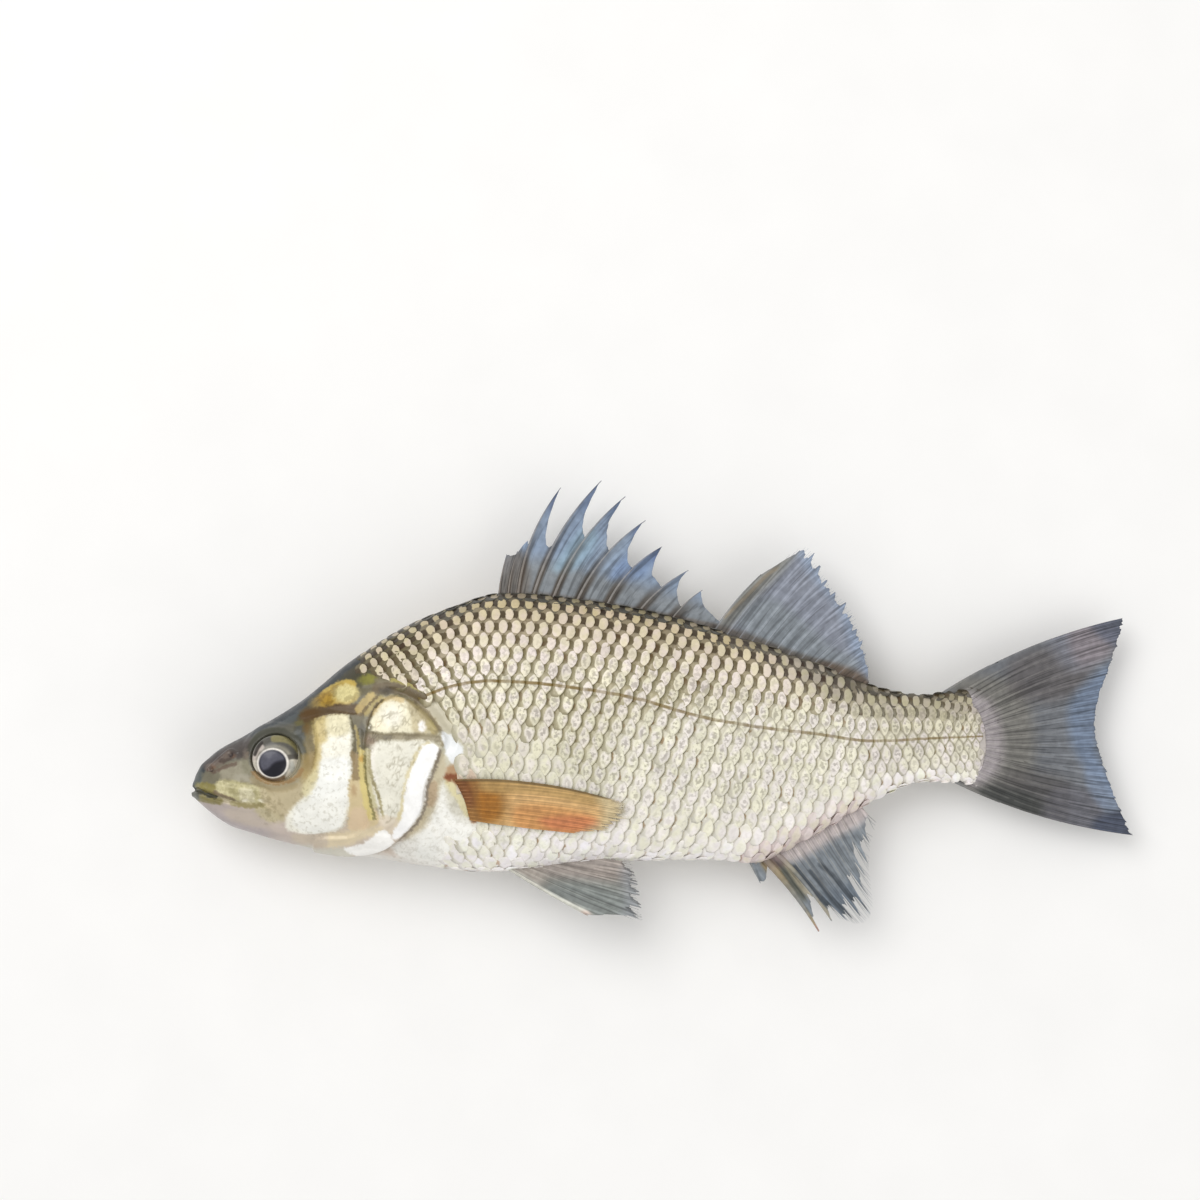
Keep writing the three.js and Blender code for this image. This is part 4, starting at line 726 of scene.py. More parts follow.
def makeSkinMaterial():  # wet skin over silvery plates, with stipple, a net of fine lines and mottling
    material, tree, shader = newMaterial("wetSkin", {"Coat Weight": 0.15, "Coat Roughness": 0.12,
                                                     "Metallic": 0.06, "Specular IOR Level": 0.3})
    marks = partsOf(tree, "marks")
    place = addNode(tree, "ShaderNodeTexCoord").outputs["Object"]
    drift = addNode(tree, "ShaderNodeTexNoise", {"Vector": place, "Scale": 500.0}).outputs[1]
    bent = addNode(tree, "ShaderNodeVectorMath", {0: drift, 1: (0.001, 0.001, 0.001), 2: place},
                   operation="MULTIPLY_ADD").outputs[0]
    cells = addNode(tree, "ShaderNodeMapping", {0: bent, 2: (0, 0, -0.44), 3: (0.001, 0.0018, 0.002)},
                    vector_type="TEXTURE").outputs[0]
    edge = addNode(tree, "ShaderNodeTexVoronoi", {"Vector": cells, "Scale": 1.0},
                   feature="DISTANCE_TO_EDGE").outputs["Distance"]
    lines = sumOf(tree, "MULTIPLY", between(tree, edge, 0.34, 0.0), between(tree, grain(tree, 420), 0.4, 0.7))
    dots = between(tree, grain(tree, 950, 3.0), 0.5, 0.68)
    blots = between(tree, grain(tree, 520, 3.0), 0.45, 0.65)
    dark = [sumOf(tree, "MULTIPLY", shape, sumOf(tree, "MULTIPLY", marks[k], most))
            for k, (shape, most) in enumerate([(dots, 0.45), (lines, 0.6), (blots, 0.5)])]
    dark = sumOf(tree, "MAXIMUM", dark[0], sumOf(tree, "MAXIMUM", dark[1], dark[2]))
    tint = blendColours(tree, dark, attributeOf(tree, "tint", "Color"), light("#857a58"), "MULTIPLY")
    tint = mottle(tree, tint, 0.94, 1.05, 260)
    finish(tree, shader, tint, rough=(0.3, 0.46), patches=500, bump=(1500, 3.0, 0.00006))
    return material


wetSkin = makeSkinMaterial()


def makeSkin(name, stations, topRows, underRows, ends):
    points, x, y, faces = skinSheet(stations, topRows, underRows, ends)
    marks = paintOver(np.full((len(x), 3), 0.1), x, y, headPaint["marks"])
    mesh = makeMesh(name, toRow(points), faces, {"tint": skinLook(x, y)}, {"marks": marks})
    mesh.shade_smooth()
    addPiece(name, mesh, wetSkin)


snoutStations = [0, 0.1, 0.25, 0.45, 0.7, 1, 1.35]  # closer where the snout rounds off
skinParts = {
    "head": {"stations": np.concatenate([snoutStations, np.arange(1.7, 72.2, 0.27)]),
             "topRows": 225, "underRows": 105, "ends": [(-0.05, 0.9), (72.2, 5)]},
    "trunk": {"stations": np.arange(70, 207.01, 1), "topRows": 150, "underRows": 80,
              "ends": [(70, 5), (207.3, 0)]},
}
for name, part in skinParts.items():
    makeSkin(name, **part)
print("skin done")


# Geometry Nodes trees work on a scratch object, and leave a plain mesh.
def newTree(name, **kinds):
    tree = bpy.data.node_groups.new(name, "GeometryNodeTree")
    for key, kind in {"Geometry": "NodeSocketGeometry", **kinds}.items():
        tree.interface.new_socket(key, in_out="INPUT", socket_type=kind)
    tree.interface.new_socket("Geometry", in_out="OUTPUT", socket_type="NodeSocketGeometry")
    return tree, addNode(tree, "NodeGroupInput").outputs


def closeTree(tree, geometry, material):
    plain = addNode(tree, "GeometryNodeRealizeInstances", {"Geometry": geometry}).outputs[0]
    dressed = addNode(tree, "GeometryNodeSetMaterial", {"Geometry": plain, "Material": material}).outputs[0]
    addNode(tree, "NodeGroupOutput", {"Geometry": dressed})


def named(tree, name, kind):
    made = addNode(tree, "GeometryNodeInputNamedAttribute", {"Name": name}, data_type=kind)
    return made.outputs["Attribute"]


def scaled(tree, vector, factor):
    return addNode(tree, "ShaderNodeVectorMath", {0: vector, "Scale": factor}, operation="SCALE").outputs[0]


def grow(mesh, tree, **values):
    scratch = bpy.data.objects.new("scratch", mesh)
    bpy.context.scene.collection.objects.link(scratch)
    modifier = scratch.modifiers.new("grow", "NODES")
    modifier.node_group = tree
    for item in tree.interface.items_tree:
        if item.name in values and item.in_out == "INPUT":
            modifier[item.identifier] = values[item.name]
    grown = scratch.evaluated_get(bpy.context.evaluated_depsgraph_get())
    result = bpy.data.meshes.new_from_object(grown)
    bpy.data.objects.remove(scratch)
    return result


# Scales lie in rows along the lateral line, every other row half a scale further back. Pitch is their step
# along a row; above and below are the steps from row to row on either side of the line. By upShare, the bar's
# line gives the width and tall the height of a scale's markings, and fleck how grey its middle is. The bar is
# dark pigment with painted shade, just behind the rim of the scale ahead.
scaling = {
    "rows": range(-17, 14), "columns": range(-14, 44), "firstColumn": 82, "from": 41, "to": 206.5,
    "steepest": 1.53, "wobble": 0.05, "seed": 7,
    "line": smoothLine([(38, 12), (50, 16.5), (61, 21.5), (68, 23.5), (76, 24.3), (85, 23.5), (100, 20.8),
                        (115, 17), (130, 11.5), (145, 7.6), (160, 4.6), (172, 2), (190, 1.2), (207, 0.5)]),
    "pitch": smoothLine([(44, 2.6), (60, 3.1), (75, 3.4), (100, 3.4), (120, 3.25), (150, 3.2), (175, 2.9),
                         (190, 2.7), (199, 2.2), (207, 1.7)]),
    "above": smoothLine([(45, 3.2), (80, 3.7), (150, 3.8), (185, 3.4), (199, 2.4), (207, 2)]),
    "below": smoothLine([(45, 3.6), (60, 4), (120, 4.2), (150, 4), (185, 3.3), (199, 2.4), (207, 2)]),
    "reach": 0.72, "across": [-1, -0.75, -0.4, 0, 0.4, 0.75, 1], "along": [0, 0.45, 0.7, 0.9, 1],
    "pigmentAndShadeBar": smoothLine([(0, 0.08), (0.45, 0.1), (0.6, 0.15), (0.75, 0.24), (0.88, 0.31), (0.95, 0.36),
                       (1, 0.36)]),
    "tall": smoothLine([(0, 0.8), (0.5, 0.8), (0.65, 0.68), (0.78, 0.58), (0.88, 0.5), (1, 0.42)]),
    "fleck": smoothLine([(0, 0.1), (0.12, 0.2), (0.3, 0.9), (0.6, 1), (0.75, 0.8), (0.85, 0.2), (1, 0.1)]),
}


def scaleShape():  # one scale, a unit long and high, its hind rim proud and a skirt down to its flat back
    rows = []
    for b in scaling["across"]:
        front, rear = 0.3 * b * b - 0.75, 0.48 * (1 - b * b)
        for a in scaling["along"]:
            rows.append((front + (rear - front) * a, scaling["reach"] * b, 0.27 * a - 0.1 - 0.1 * b * b))
    high, wide = len(scaling["across"]), len(scaling["along"])
    points = np.array(rows + [(x, y, -0.95) for x, y, _ in rows])
    faces = gridFaces(high, wide).tolist()
    top, under = len(faces), high * wide
    rim = [*range(wide), *range(2 * wide - 1, under, wide), *range(under - 2, under - wide - 1, -1),
           *range(under - 2 * wide, 0, -wide)]
    faces += [[a + under, b + under, b, a] for a, b in zip(rim, rim[1:] + rim[:1])]
    faces.append([corner + under for corner in rim[::-1]])
    kept = {corner: i for i, corner in enumerate([*range(under), *sorted(corner + under for corner in rim)])}
    points = points[list(kept)]
    mesh = bpy.data.meshes.new("scale")
    mesh.from_pydata(points.tolist(), [], [[kept[corner] for corner in face] for face in faces])
    for face in mesh.polygons:
        face.use_smooth = face.index < top
    local = np.array([(x, y / scaling["reach"], 0) for x, y, _ in points])
    mesh.attributes.new("local", "FLOAT_VECTOR", "POINT").data.foreach_set("vector", local.ravel())
    return bpy.data.objects.new("scale", mesh)


def scaleTree(material):
    tree, given = newTree("scaleTree", Shape="NodeSocketObject", Wobble="NodeSocketFloat",
                          Seed="NodeSocketInt")
    facing, along = named(tree, "facing", "FLOAT_VECTOR"), named(tree, "along", "FLOAT_VECTOR")
    turned = addNode(tree, "FunctionNodeAxesToRotation", {0: facing, 1: along},
                     primary_axis="Z", secondary_axis="X")
    least, most = (scaled(tree, (way, way, way), given["Wobble"]) for way in (-1, 1))
    tilt = addNode(tree, "FunctionNodeRandomValue", {0: least, 1: most, 8: given["Seed"]},
                   data_type="FLOAT_VECTOR")
    tilted = addNode(tree, "FunctionNodeRotateRotation", {0: turned.outputs[0], 1: tilt.outputs[0]},
                     rotation_space="LOCAL")
    shape = addNode(tree, "GeometryNodeObjectInfo", {0: given["Shape"]})
    many = addNode(tree, "GeometryNodeInstanceOnPoints",
                   {"Points": given["Geometry"], "Instance": shape.outputs["Geometry"],
                    "Rotation": tilted.outputs[0], "Scale": named(tree, "span", "FLOAT_VECTOR")})
    plain = addNode(tree, "GeometryNodeRealizeInstances", {"Geometry": many.outputs[0]})
    across = addNode(tree, "ShaderNodeSeparateXYZ", {0: named(tree, "local", "FLOAT_VECTOR")}).outputs[1]
    fall = sumOf(tree, "MULTIPLY", named(tree, "drop", "FLOAT"), sumOf(tree, "MULTIPLY", across, across))
    bent = addNode(tree, "GeometryNodeSetPosition",
                   {"Geometry": plain.outputs[0], "Offset": scaled(tree, facing, fall)})
    closeTree(tree, bent.outputs[0], material)
    return tree


# The scale's dark bar is pigment with painted shade: it lies just behind the rim of the scale ahead and
# follows that rim's curve.
def makeScaleMaterial():  # a bright scale with a grey middle, and a dark bar behind the rim ahead of it
    material, tree, shader = newMaterial("scaleSkin", {"Coat Weight": 0.1, "Coat Roughness": 0.15,
                                                       "Metallic": 0.06, "Specular IOR Level": 0.3})
    calc = partial(sumOf, tree)
    place, spot = partsOf(tree, "local"), partsOf(tree, "spot")
    barWide = spot[0]
    ragged = between(tree, grain(tree, 900, 3.0), 0.3, 0.7, -0.12, 0.12)
    upward = calc("MULTIPLY", calc("ABSOLUTE", place[1]), scaling["reach"])
    rounded = calc("MULTIPLY", calc("MULTIPLY", place[1], place[1]), 0.48)
    fromRim = calc("ADD", calc("ADD", calc("ADD", place[0], 0.52), rounded), calc("MULTIPLY", ragged, 0.5))
    barTall = between(tree, barWide, 0.1, 0.36, 0.7, 0.38)
    # the bar: dark pigment with painted shade where the rim ahead would shade this scale
    pigmentAndShadeBar = between(tree, fromRim, calc("ADD", barWide, 0.06), calc("SUBTRACT", barWide, 0.05))
    pigmentAndShadeBar = calc("MULTIPLY", pigmentAndShadeBar, between(tree, upward, barTall, calc("SUBTRACT", barTall, 0.14)))
    middle = calc("SUBTRACT", calc("MULTIPLY", barWide, 0.5), 0.02)
    aside = calc("DIVIDE", calc("ABSOLUTE", calc("SUBTRACT", place[0], middle)),
                 calc("SUBTRACT", 0.5, calc("MULTIPLY", barWide, 0.5)))
    tall = calc("DIVIDE", upward, spot[1])
    square = between(tree, barWide, 0.12, 0.3, 1.3, 2.6)
    lens = calc("ADD", calc("POWER", aside, square), calc("ADD", calc("POWER", tall, square), ragged))
    bright = between(tree, lens, 1.12, between(tree, barWide, 0.1, 0.3, 0.55, 0.84))
    shine = blendColours(tree, between(tree, grain(tree, 260), 0.4, 0.6), light("#faf6fa"), light("#f6f5e8"))
    shine = blendColours(tree, 1.0, attributeOf(tree, "shine", "Color"), shine, "MULTIPLY")
    tint = blendColours(tree, bright, attributeOf(tree, "net", "Color"), shine)
    brown = calc("MULTIPLY", between(tree, grain(tree, 230, 1.0), 0.55, 0.68), 0.7)
    pigmentAndShadeBarLook = blendColours(tree, brown, attributeOf(tree, "pigmentAndShadeBar", "Color"), light("#c09a72"), "MULTIPLY")
    tint = blendColours(tree, pigmentAndShadeBar, tint, pigmentAndShadeBarLook)
    grey = calc("MULTIPLY", between(tree, lens, 0.85, 0.2), between(tree, grain(tree, 1100, 3.0), 0.42, 0.58))
    grey = calc("MULTIPLY", calc("MULTIPLY", grey, spot[2]), 0.7)
    tint = blendColours(tree, grey, tint, light("#a9a6a3"), "MULTIPLY")
    thread = calc("MULTIPLY", between(tree, upward, 0.14, 0.06), attributeOf(tree, "thread"))
    thread = calc("MULTIPLY", thread, between(tree, grain(tree, 300), 0.35, 0.6, 0.6, 1.0))
    tint = blendColours(tree, thread, tint, light("#7a6534"))
    tint = mottle(tree, tint, 0.94, 1.05, 320)
    finish(tree, shader, tint, rough=(0.28, 0.45), patches=700, bump=(1600, 2.0, 0.00004))
    return material


def upTheFlank(x, arc):  # the angle that lies this far above the lateral line, round the flank
    fine = np.linspace(-1.54, 1.54, 400)
    around = bodyPoints(x[:, None], fine[None, :])
    steps = np.linalg.norm(np.diff(around, axis=1), axis=-1)
    length = np.concatenate([np.zeros((len(x), 1)), np.cumsum(steps, axis=1)], axis=1)
    angles = [np.interp(np.interp(height, ys, run) + rise, run, fine, left=-9, right=9)
              for height, ys, run, rise in zip(scaling["line"](x), around[..., 1], length, arc)]
    return np.array(angles)


def placeScales(side):
    stations = np.arange(scaling["from"] - 1, 207.3, 0.5)
    turns = np.cumsum(0.5 / scaling["pitch"](stations))
    turns -= np.interp(scaling["firstColumn"], stations, turns)
    bare = curveThrough(flankPaint["bare"], closed=True)
    found = []
    for row in scaling["rows"]:
        x = np.interp(np.array(scaling["columns"]) + row % 2 / 2, turns, stations)
        x = x[(x > scaling["from"]) & (x < scaling["to"])]
        spacing = scaling["above" if row > 0 else "below"]
        angle = upTheFlank(x, row * spacing(x))
        onFlank = abs(angle) < scaling["steepest"]
        x, angle = x[onFlank], angle[onFlank]
        centre = bodyPoints(x, angle)
        kept = depthInside(bare, centre[:, 0], centre[:, 1]) < 0.6
        kept &= waver(x * 2.1, centre[:, 1] * 2.1, 5.2) > (x - 203.5) / 6  # fewer on the tail fin
        x, angle, centre = x[kept], angle[kept], centre[kept]
        if not len(x):
            continue
        high = spacing(x) * scaling["reach"]
        facing = bodyNormals(x, angle)
        falls = []
        for step in (-high, high):
            rim = bodyPoints(x, np.clip(upTheFlank(x, row * spacing(x) + step), -1.55, 1.55))
            falls.append(np.einsum("ij,ij->i", centre - rim, facing))
        ahead = upTheFlank(x + 0.4, row * spacing(x + 0.4))
        along = unit(bodyPoints(x + 0.4, np.clip(ahead, -1.55, 1.55)) - centre)
        front = ramp(0.5, -7, depthInside(bare, centre[:, 0], centre[:, 1]))
        lift = 1 - 0.65 * (1 - front) * ramp(16, 8, centre[:, 1])
        lift *= 1 - 0.8 * ramp(0.9, 1.35, abs(angle))
        lift *= 1 - 0.5 * ramp(0.15, 0.04, upShare(x, centre[:, 1]))
        lift *= 1 - 0.3 * ramp(160, 180, x) - 0.4 * ramp(192, 203, x)
        found.append({"centre": centre, "facing": facing, "along": along,
                      "span": np.column_stack([scaling["pitch"](x), spacing(x), lift]),
                      "drop": np.clip(np.mean(falls, axis=0), 0, 1.2),
                      "thread": (row == 0) * (1 - 0.2 * ramp(90, 150, x))})
    scales = {key: np.concatenate([row[key] for row in found]) for key in found[0]}
    for key in ("facing", "along"):
        scales[key][:, 2] *= side
    middle = middleHeight(scales["centre"][:, 0])
    scales["centre"][:, 2] = middle + side * (scales["centre"][:, 2] - middle)
    return scales


def makeScales(name, side, tree, shape):
    scales = placeScales(side)
    x, y = scales["centre"][:, 0], scales["centre"][:, 1]
    up = upShare(x, y)
    looks = {}
    for key, seed in (("net", 4.5), ("pigmentAndShadeBar", 7.1), ("shine", 2.6)):
        looks[key] = paintOver(flankPaint[key](up), x, y, flankPaint[key + "Strokes"])
        looks[key] *= (1 + 0.06 * waver(x * 3.1, y * 3.1, seed))[:, None]
    fleck = paintOver(scaling["fleck"](up)[:, None], x, y, flankPaint["fleckStrokes"])[:, 0]
    barWide = scaling["pigmentAndShadeBar"](up) * (1 + 0.25 * waver(x * 2.3, y * 2.3, 9.3))
    tall = scaling["tall"](up) * (1 - 0.2 * (scales["thread"] > 0))
    numbers = {"facing": scales["facing"], "along": scales["along"], "span": scales["span"] / 1000,
               "spot": np.column_stack([barWide, tall, fleck]), "drop": -scales["drop"] / 1000,
               "thread": scales["thread"]}
    mesh = grow(makeMesh(name, toRow(scales["centre"]), [], looks, numbers), tree, Shape=shape,
                Wobble=scaling["wobble"], Seed=scaling["seed"])
    corners = np.empty(len(mesh.vertices) * 3)
    mesh.vertices.foreach_get("co", corners)
    corners[2::3] = np.maximum(corners[2::3], toRow([0, 0, 0])[2])
    mesh.vertices.foreach_set("co", corners)
    for key in ("facing", "along", "span", "drop"):
        if key in mesh.attributes:
            mesh.attributes.remove(mesh.attributes[key])
    addPiece(name, mesh, scaleSkin)
    print(f"{len(x)} scales on {name}")


oneScale = scaleShape()
scaleSkin = makeScaleMaterial()
growScales = scaleTree(scaleSkin)
makeScales("scales_left", 1, growScales, oneScale)
makeScales("scales_right", -1, growScales, oneScale)
bpy.data.objects.remove(oneScale)
print("scales done")


# Fins. A fan runs from its root line to its tip line by a share from 0 to 1, its rays bowed sideways.
def openFan(fin):
    if "ends" in fin:
        table = np.array(fin["ends"], float).T
        shares = np.linspace(0, 1, len(fin["ends"]))
        lines = [lambda s, row=row: np.interp(s, shares, row) for row in table[:5]]
    else:
        lines = [smoothLine([(row[0], row[k]) for row in fin[key]])
                 for key in ("roots", "tips") for k in (1, 2)]
        lines.append(smoothLine(fin["bow"]))

    def at(s, v):
        rootX, rootY, tipX, tipY, bow = (line(s) for line in lines)
        dx, dy = tipX - rootX, tipY - rootY
        swell = 4 * bow * v * (1 - v) / np.hypot(dx, dy)
        return rootX + dx * v - dy * swell, rootY + dy * v + dx * swell
    return at


def webReach(fin, s):  # how far out the web goes: it leaves a ray's tip and meets the next one lower down
    last = fin["rays"] - 1
    i = np.clip(np.floor(s * last + 1e-6).astype(int), 0, last - 1)
    t = s * last - i
    cut, hold = (np.broadcast_to(fin[key], last)[i] for key in ("cuts", "holds"))
    notch = 1 - cut + (hold - 1 + cut) * 0.35
    return (1 - t) ** 2 + 2 * t * (1 - t) * notch + t * t * hold


def finHeight(fin, x, y, v, s):
    middle, side, wave = middleHeight(x), fin.get("side", 1), fin["wave"]
    if fin["lies"] in ("spread", "overlapping"):
        if fin["lies"] == "overlapping":  # the foot of the tail covers the end of the body
            cover = flankHeight(x, y) - 0.1 + 0.25 * ramp(0, 0.08, v)
            middle = middle + cover * ramp(210, 206, x) * ramp(198, 201, x)
        sag = 0.0016 * np.maximum(0, abs(y) - fin["sagFrom"]) ** 2
        return middle - sag + wave * v * np.sin(s * 23)
    if fin["lies"] == "beside":
        return middle + side * (3.6 + 2.6 * v + wave * v * np.sin(s * 17))
    proud = 0.9 * ramp(-0.03, 0.1, v) - 0.15 * v + wave * v * np.sin(s * 40)
    return middle + side * (flankHeight(x, y) + proud)


def finLook(fin, x, y):
    look = np.zeros((x.size, 3)) + colour(fin["look"])
    return paintOver(look, x.ravel(), y.ravel(), fin["strokes"])


# Soft rays fork twice: the share along the ray where a fork starts, where it is fully open, and how far
# it then stands aside, counted in rays. Web is the skin between them, in millimetres.
forks = [(0.3, 1.0, 0.24), (0.62, 1.1, 0.13)]
web = {"half": 0.17, "thinner": 0.1, "lowest": 0.02}


# Fan is the place along the fan, counted in rays, and up it. Weave is how much of the forking soft rays,
# of the bands along spines and of the fine streaks shows.
def makeFinMaterial():
    material, tree, shader = newMaterial("finSkin", {"Coat Weight": 0.1, "Coat Roughness": 0.2,
                                                     "Specular IOR Level": 0.25})
    calc = partial(sumOf, tree)
    fan, weave = partsOf(tree, "fan"), partsOf(tree, "weave")
    fork = fromRay = calc("ABSOLUTE", calc("SUBTRACT", calc("FRACT", calc("ADD", fan[0], 0.5)), 0.5))
    for start, full, aside in forks:
        fork = calc("ABSOLUTE", calc("SUBTRACT", fork, between(tree, fan[1], start, full, 0.0, aside)))
    rays = between(tree, fork, 0.02, between(tree, fan[1], 0.0, 1.0, 0.3, 0.1), 1.25, 0.66)
    shade = calc("MULTIPLY_ADD", calc("SUBTRACT", rays, 1.0), weave[0], 1.0)
    threads = addNode(tree, "ShaderNodeMapping", {0: attributeOf(tree, "fan", "Vector"), 3: (6.0, 1.6, 5.0)})
    threads = addNode(tree, "ShaderNodeTexNoise", {"Vector": threads.outputs[0], "Scale": 1.0, "Detail": 3.0})
    streaks = calc("MULTIPLY", between(tree, threads.outputs[0], 0.48, 0.64), weave[2])
    shade = calc("MULTIPLY", shade, calc("MULTIPLY_ADD", streaks, -0.5, 1.0))
    band = calc("MULTIPLY", between(tree, fromRay, 0.28, 0.1), between(tree, fan[1], 0.95, 0.15))
    tint = blendColours(tree, calc("MULTIPLY", band, weave[1]), attributeOf(tree, "tint", "Color"),
                        light("#9c8a78"), "MULTIPLY")
    tint = mottle(tree, blendColours(tree, 1.0, tint, shade, "MULTIPLY"), 0.86, 1.1, 600, 3.0)
    finish(tree, shader, tint, rough=(0.36, 0.55), patches=400, bump=(1300, 2.0, 0.00005))
    return material


def rayTree(material):
    tree, given = newTree("rayTree", Sides="NodeSocketInt")
    curve = addNode(tree, "GeometryNodeMeshToCurve", {"Mesh": given["Geometry"]}).outputs[0]
    ring = addNode(tree, "GeometryNodeCurvePrimitiveCircle", {"Resolution": given["Sides"], "Radius": 1.0})
    tube = addNode(tree, "GeometryNodeCurveToMesh",
                   {"Curve": curve, "Profile Curve": ring.outputs[0], "Scale": named(tree, "thick", "FLOAT"),
                    "Fill Caps": True})
    smooth = addNode(tree, "GeometryNodeSetShadeSmooth", {"Geometry": tube.outputs[0]})
    closeTree(tree, smooth.outputs[0], material)
    return tree


finSkin = makeFinMaterial()
growRays = rayTree(finSkin)


def makeBlade(name, fin):
    at = openFan(fin)
    last = fin["rays"] - 1
    steps = np.concatenate([[0, 0.04, 0.08], np.linspace(0.12, 0.85, fin["columns"]), [0.92, 0.97]])
    s = np.concatenate([(i + steps) / last for i in range(last)] + [[1.0]])
    v = np.linspace(0, 1, fin["rows"]) ** 0.9
    torn = fin["torn"] * (waver(s * last * 2.7, s * 0, 3.1) + 0.5 * waver(s * last * 7.9, s * 0, 8.2) - 0.5)
    reach = webReach(fin, s) * (1 + np.minimum(torn, 0))
    across, out = np.meshgrid(s, v, indexing="ij")
    along = out * reach[:, None]
    x, y = at(across, along)
    z = finHeight(fin, x, y, along, across)
    half = web["half"] - web["thinner"] * out
    look = finLook(fin, x, y)
    fan = np.column_stack([(across * last).ravel(), along.ravel(), np.full(x.size, fin["rays"])])
    weave = np.tile(np.array(fin["weave"], float), (2 * x.size, 1))
    numbers = {"fan": np.concatenate([fan, fan]), "weave": weave}
    top, bottom = (np.stack([x, y, z + step], axis=-1).reshape(-1, 3) for step in (half, -half))
    points = np.concatenate([top, bottom])
    points[:, 2] = np.maximum(points[:, 2], web["lowest"])
    high, wide = x.shape
    sheet, under = gridFaces(high, wide), high * wide
    rim = np.array([*range(0, under, wide), *range(under - wide + 1, under),
                    *range(under - wide - 1, 0, -wide), *range(wide - 2, 0, -1)])
    onward = np.roll(rim, -1)
    walls = np.stack([rim, rim + under, onward + under, onward], axis=1)
    faces = facingOut(points, [np.concatenate([sheet[:, ::-1], sheet + under, walls])])
    mesh = makeMesh(name, toRow(points), faces, {"tint": np.concatenate([look, look])}, numbers)
    mesh.shade_smooth()
    addPiece(name, mesh, finSkin)


def rayRuns(fin):  # shares along the fan, places along the ray and radii of each run
    last = fin["rays"] - 1
    (start, full, aside), (nextStart, nextFull, nextAside) = forks
    overlap = 0.02
    for i in range(fin["rays"]):
        s = i / last
        stout = fin["ends"][i][5] if "ends" in fin else fin["stout"]
        if i < fin["spines"]:
            v = np.linspace(0, 1, 22)
            yield s + 0 * v, v, stout * (1 - 0.82 * v ** 1.5)
            continue
        end = 1 - 0.05 * abs(math.sin(i * 2.7))
        v = np.linspace(0, start + overlap, 8)
        yield s + 0 * v, v, stout * (1 - 0.7 * v)
        for first in (-aside, aside):
            v = np.linspace(start, nextStart + overlap, 8)
            yield np.clip(s + first / last * ramp(start, full, v), 0, 1), v, stout * (0.75 - 0.6 * v)
            for second in (-nextAside, nextAside):
                v = np.linspace(nextStart, end, 9)
                outer = s + (first * ramp(start, full, v) + second * ramp(nextStart, nextFull, v)) / last
                yield np.clip(outer, 0, 1), v, stout * np.maximum(0.55 - 0.5 * v, 0.04)


def makeRays(name, fin):
    at = openFan(fin)
    places, edges, thick, shares = [], [], [], []
    for s, v, radius in rayRuns(fin):
        x, y = at(s, v)
        edges += [(len(thick) + k, len(thick) + k + 1) for k in range(len(v) - 1)]
        places += list(zip(x, y, np.maximum(finHeight(fin, x, y, v, s), radius + web["lowest"])))
        thick += list(radius / 1000)
        shares += list(v)
    places, shares = np.array(places), np.array(shares)
    look = finLook(fin, places[:, 0], places[:, 1])
    for key, fade in (("rayLook", 1 - 0.5 * shares), ("tipLook", ramp(0.8, 1, shares))):
        if key in fin:
            paint, amount = fin[key]
            look += (colour(paint) - look) * (amount * fade)[:, None]
    lines = makeMesh(name, toRow(places), [], {"tint": look}, {"thick": np.array(thick)}, edges)
    mesh = grow(lines, growRays, Sides=6)
    turnOut(mesh)
    addPiece(name, mesh, finSkin)


def turnOut(mesh):
    mesh.calc_loop_triangles()
    points = np.array([vertex.co for vertex in mesh.vertices])
    corners = np.array([triangle.vertices for triangle in mesh.loop_triangles])
    a, b, c = (points[corners[:, k]] for k in range(3))
    if np.einsum("ij,ij->", a, np.cross(b, c)) < 0:
        mesh.flip_normals()


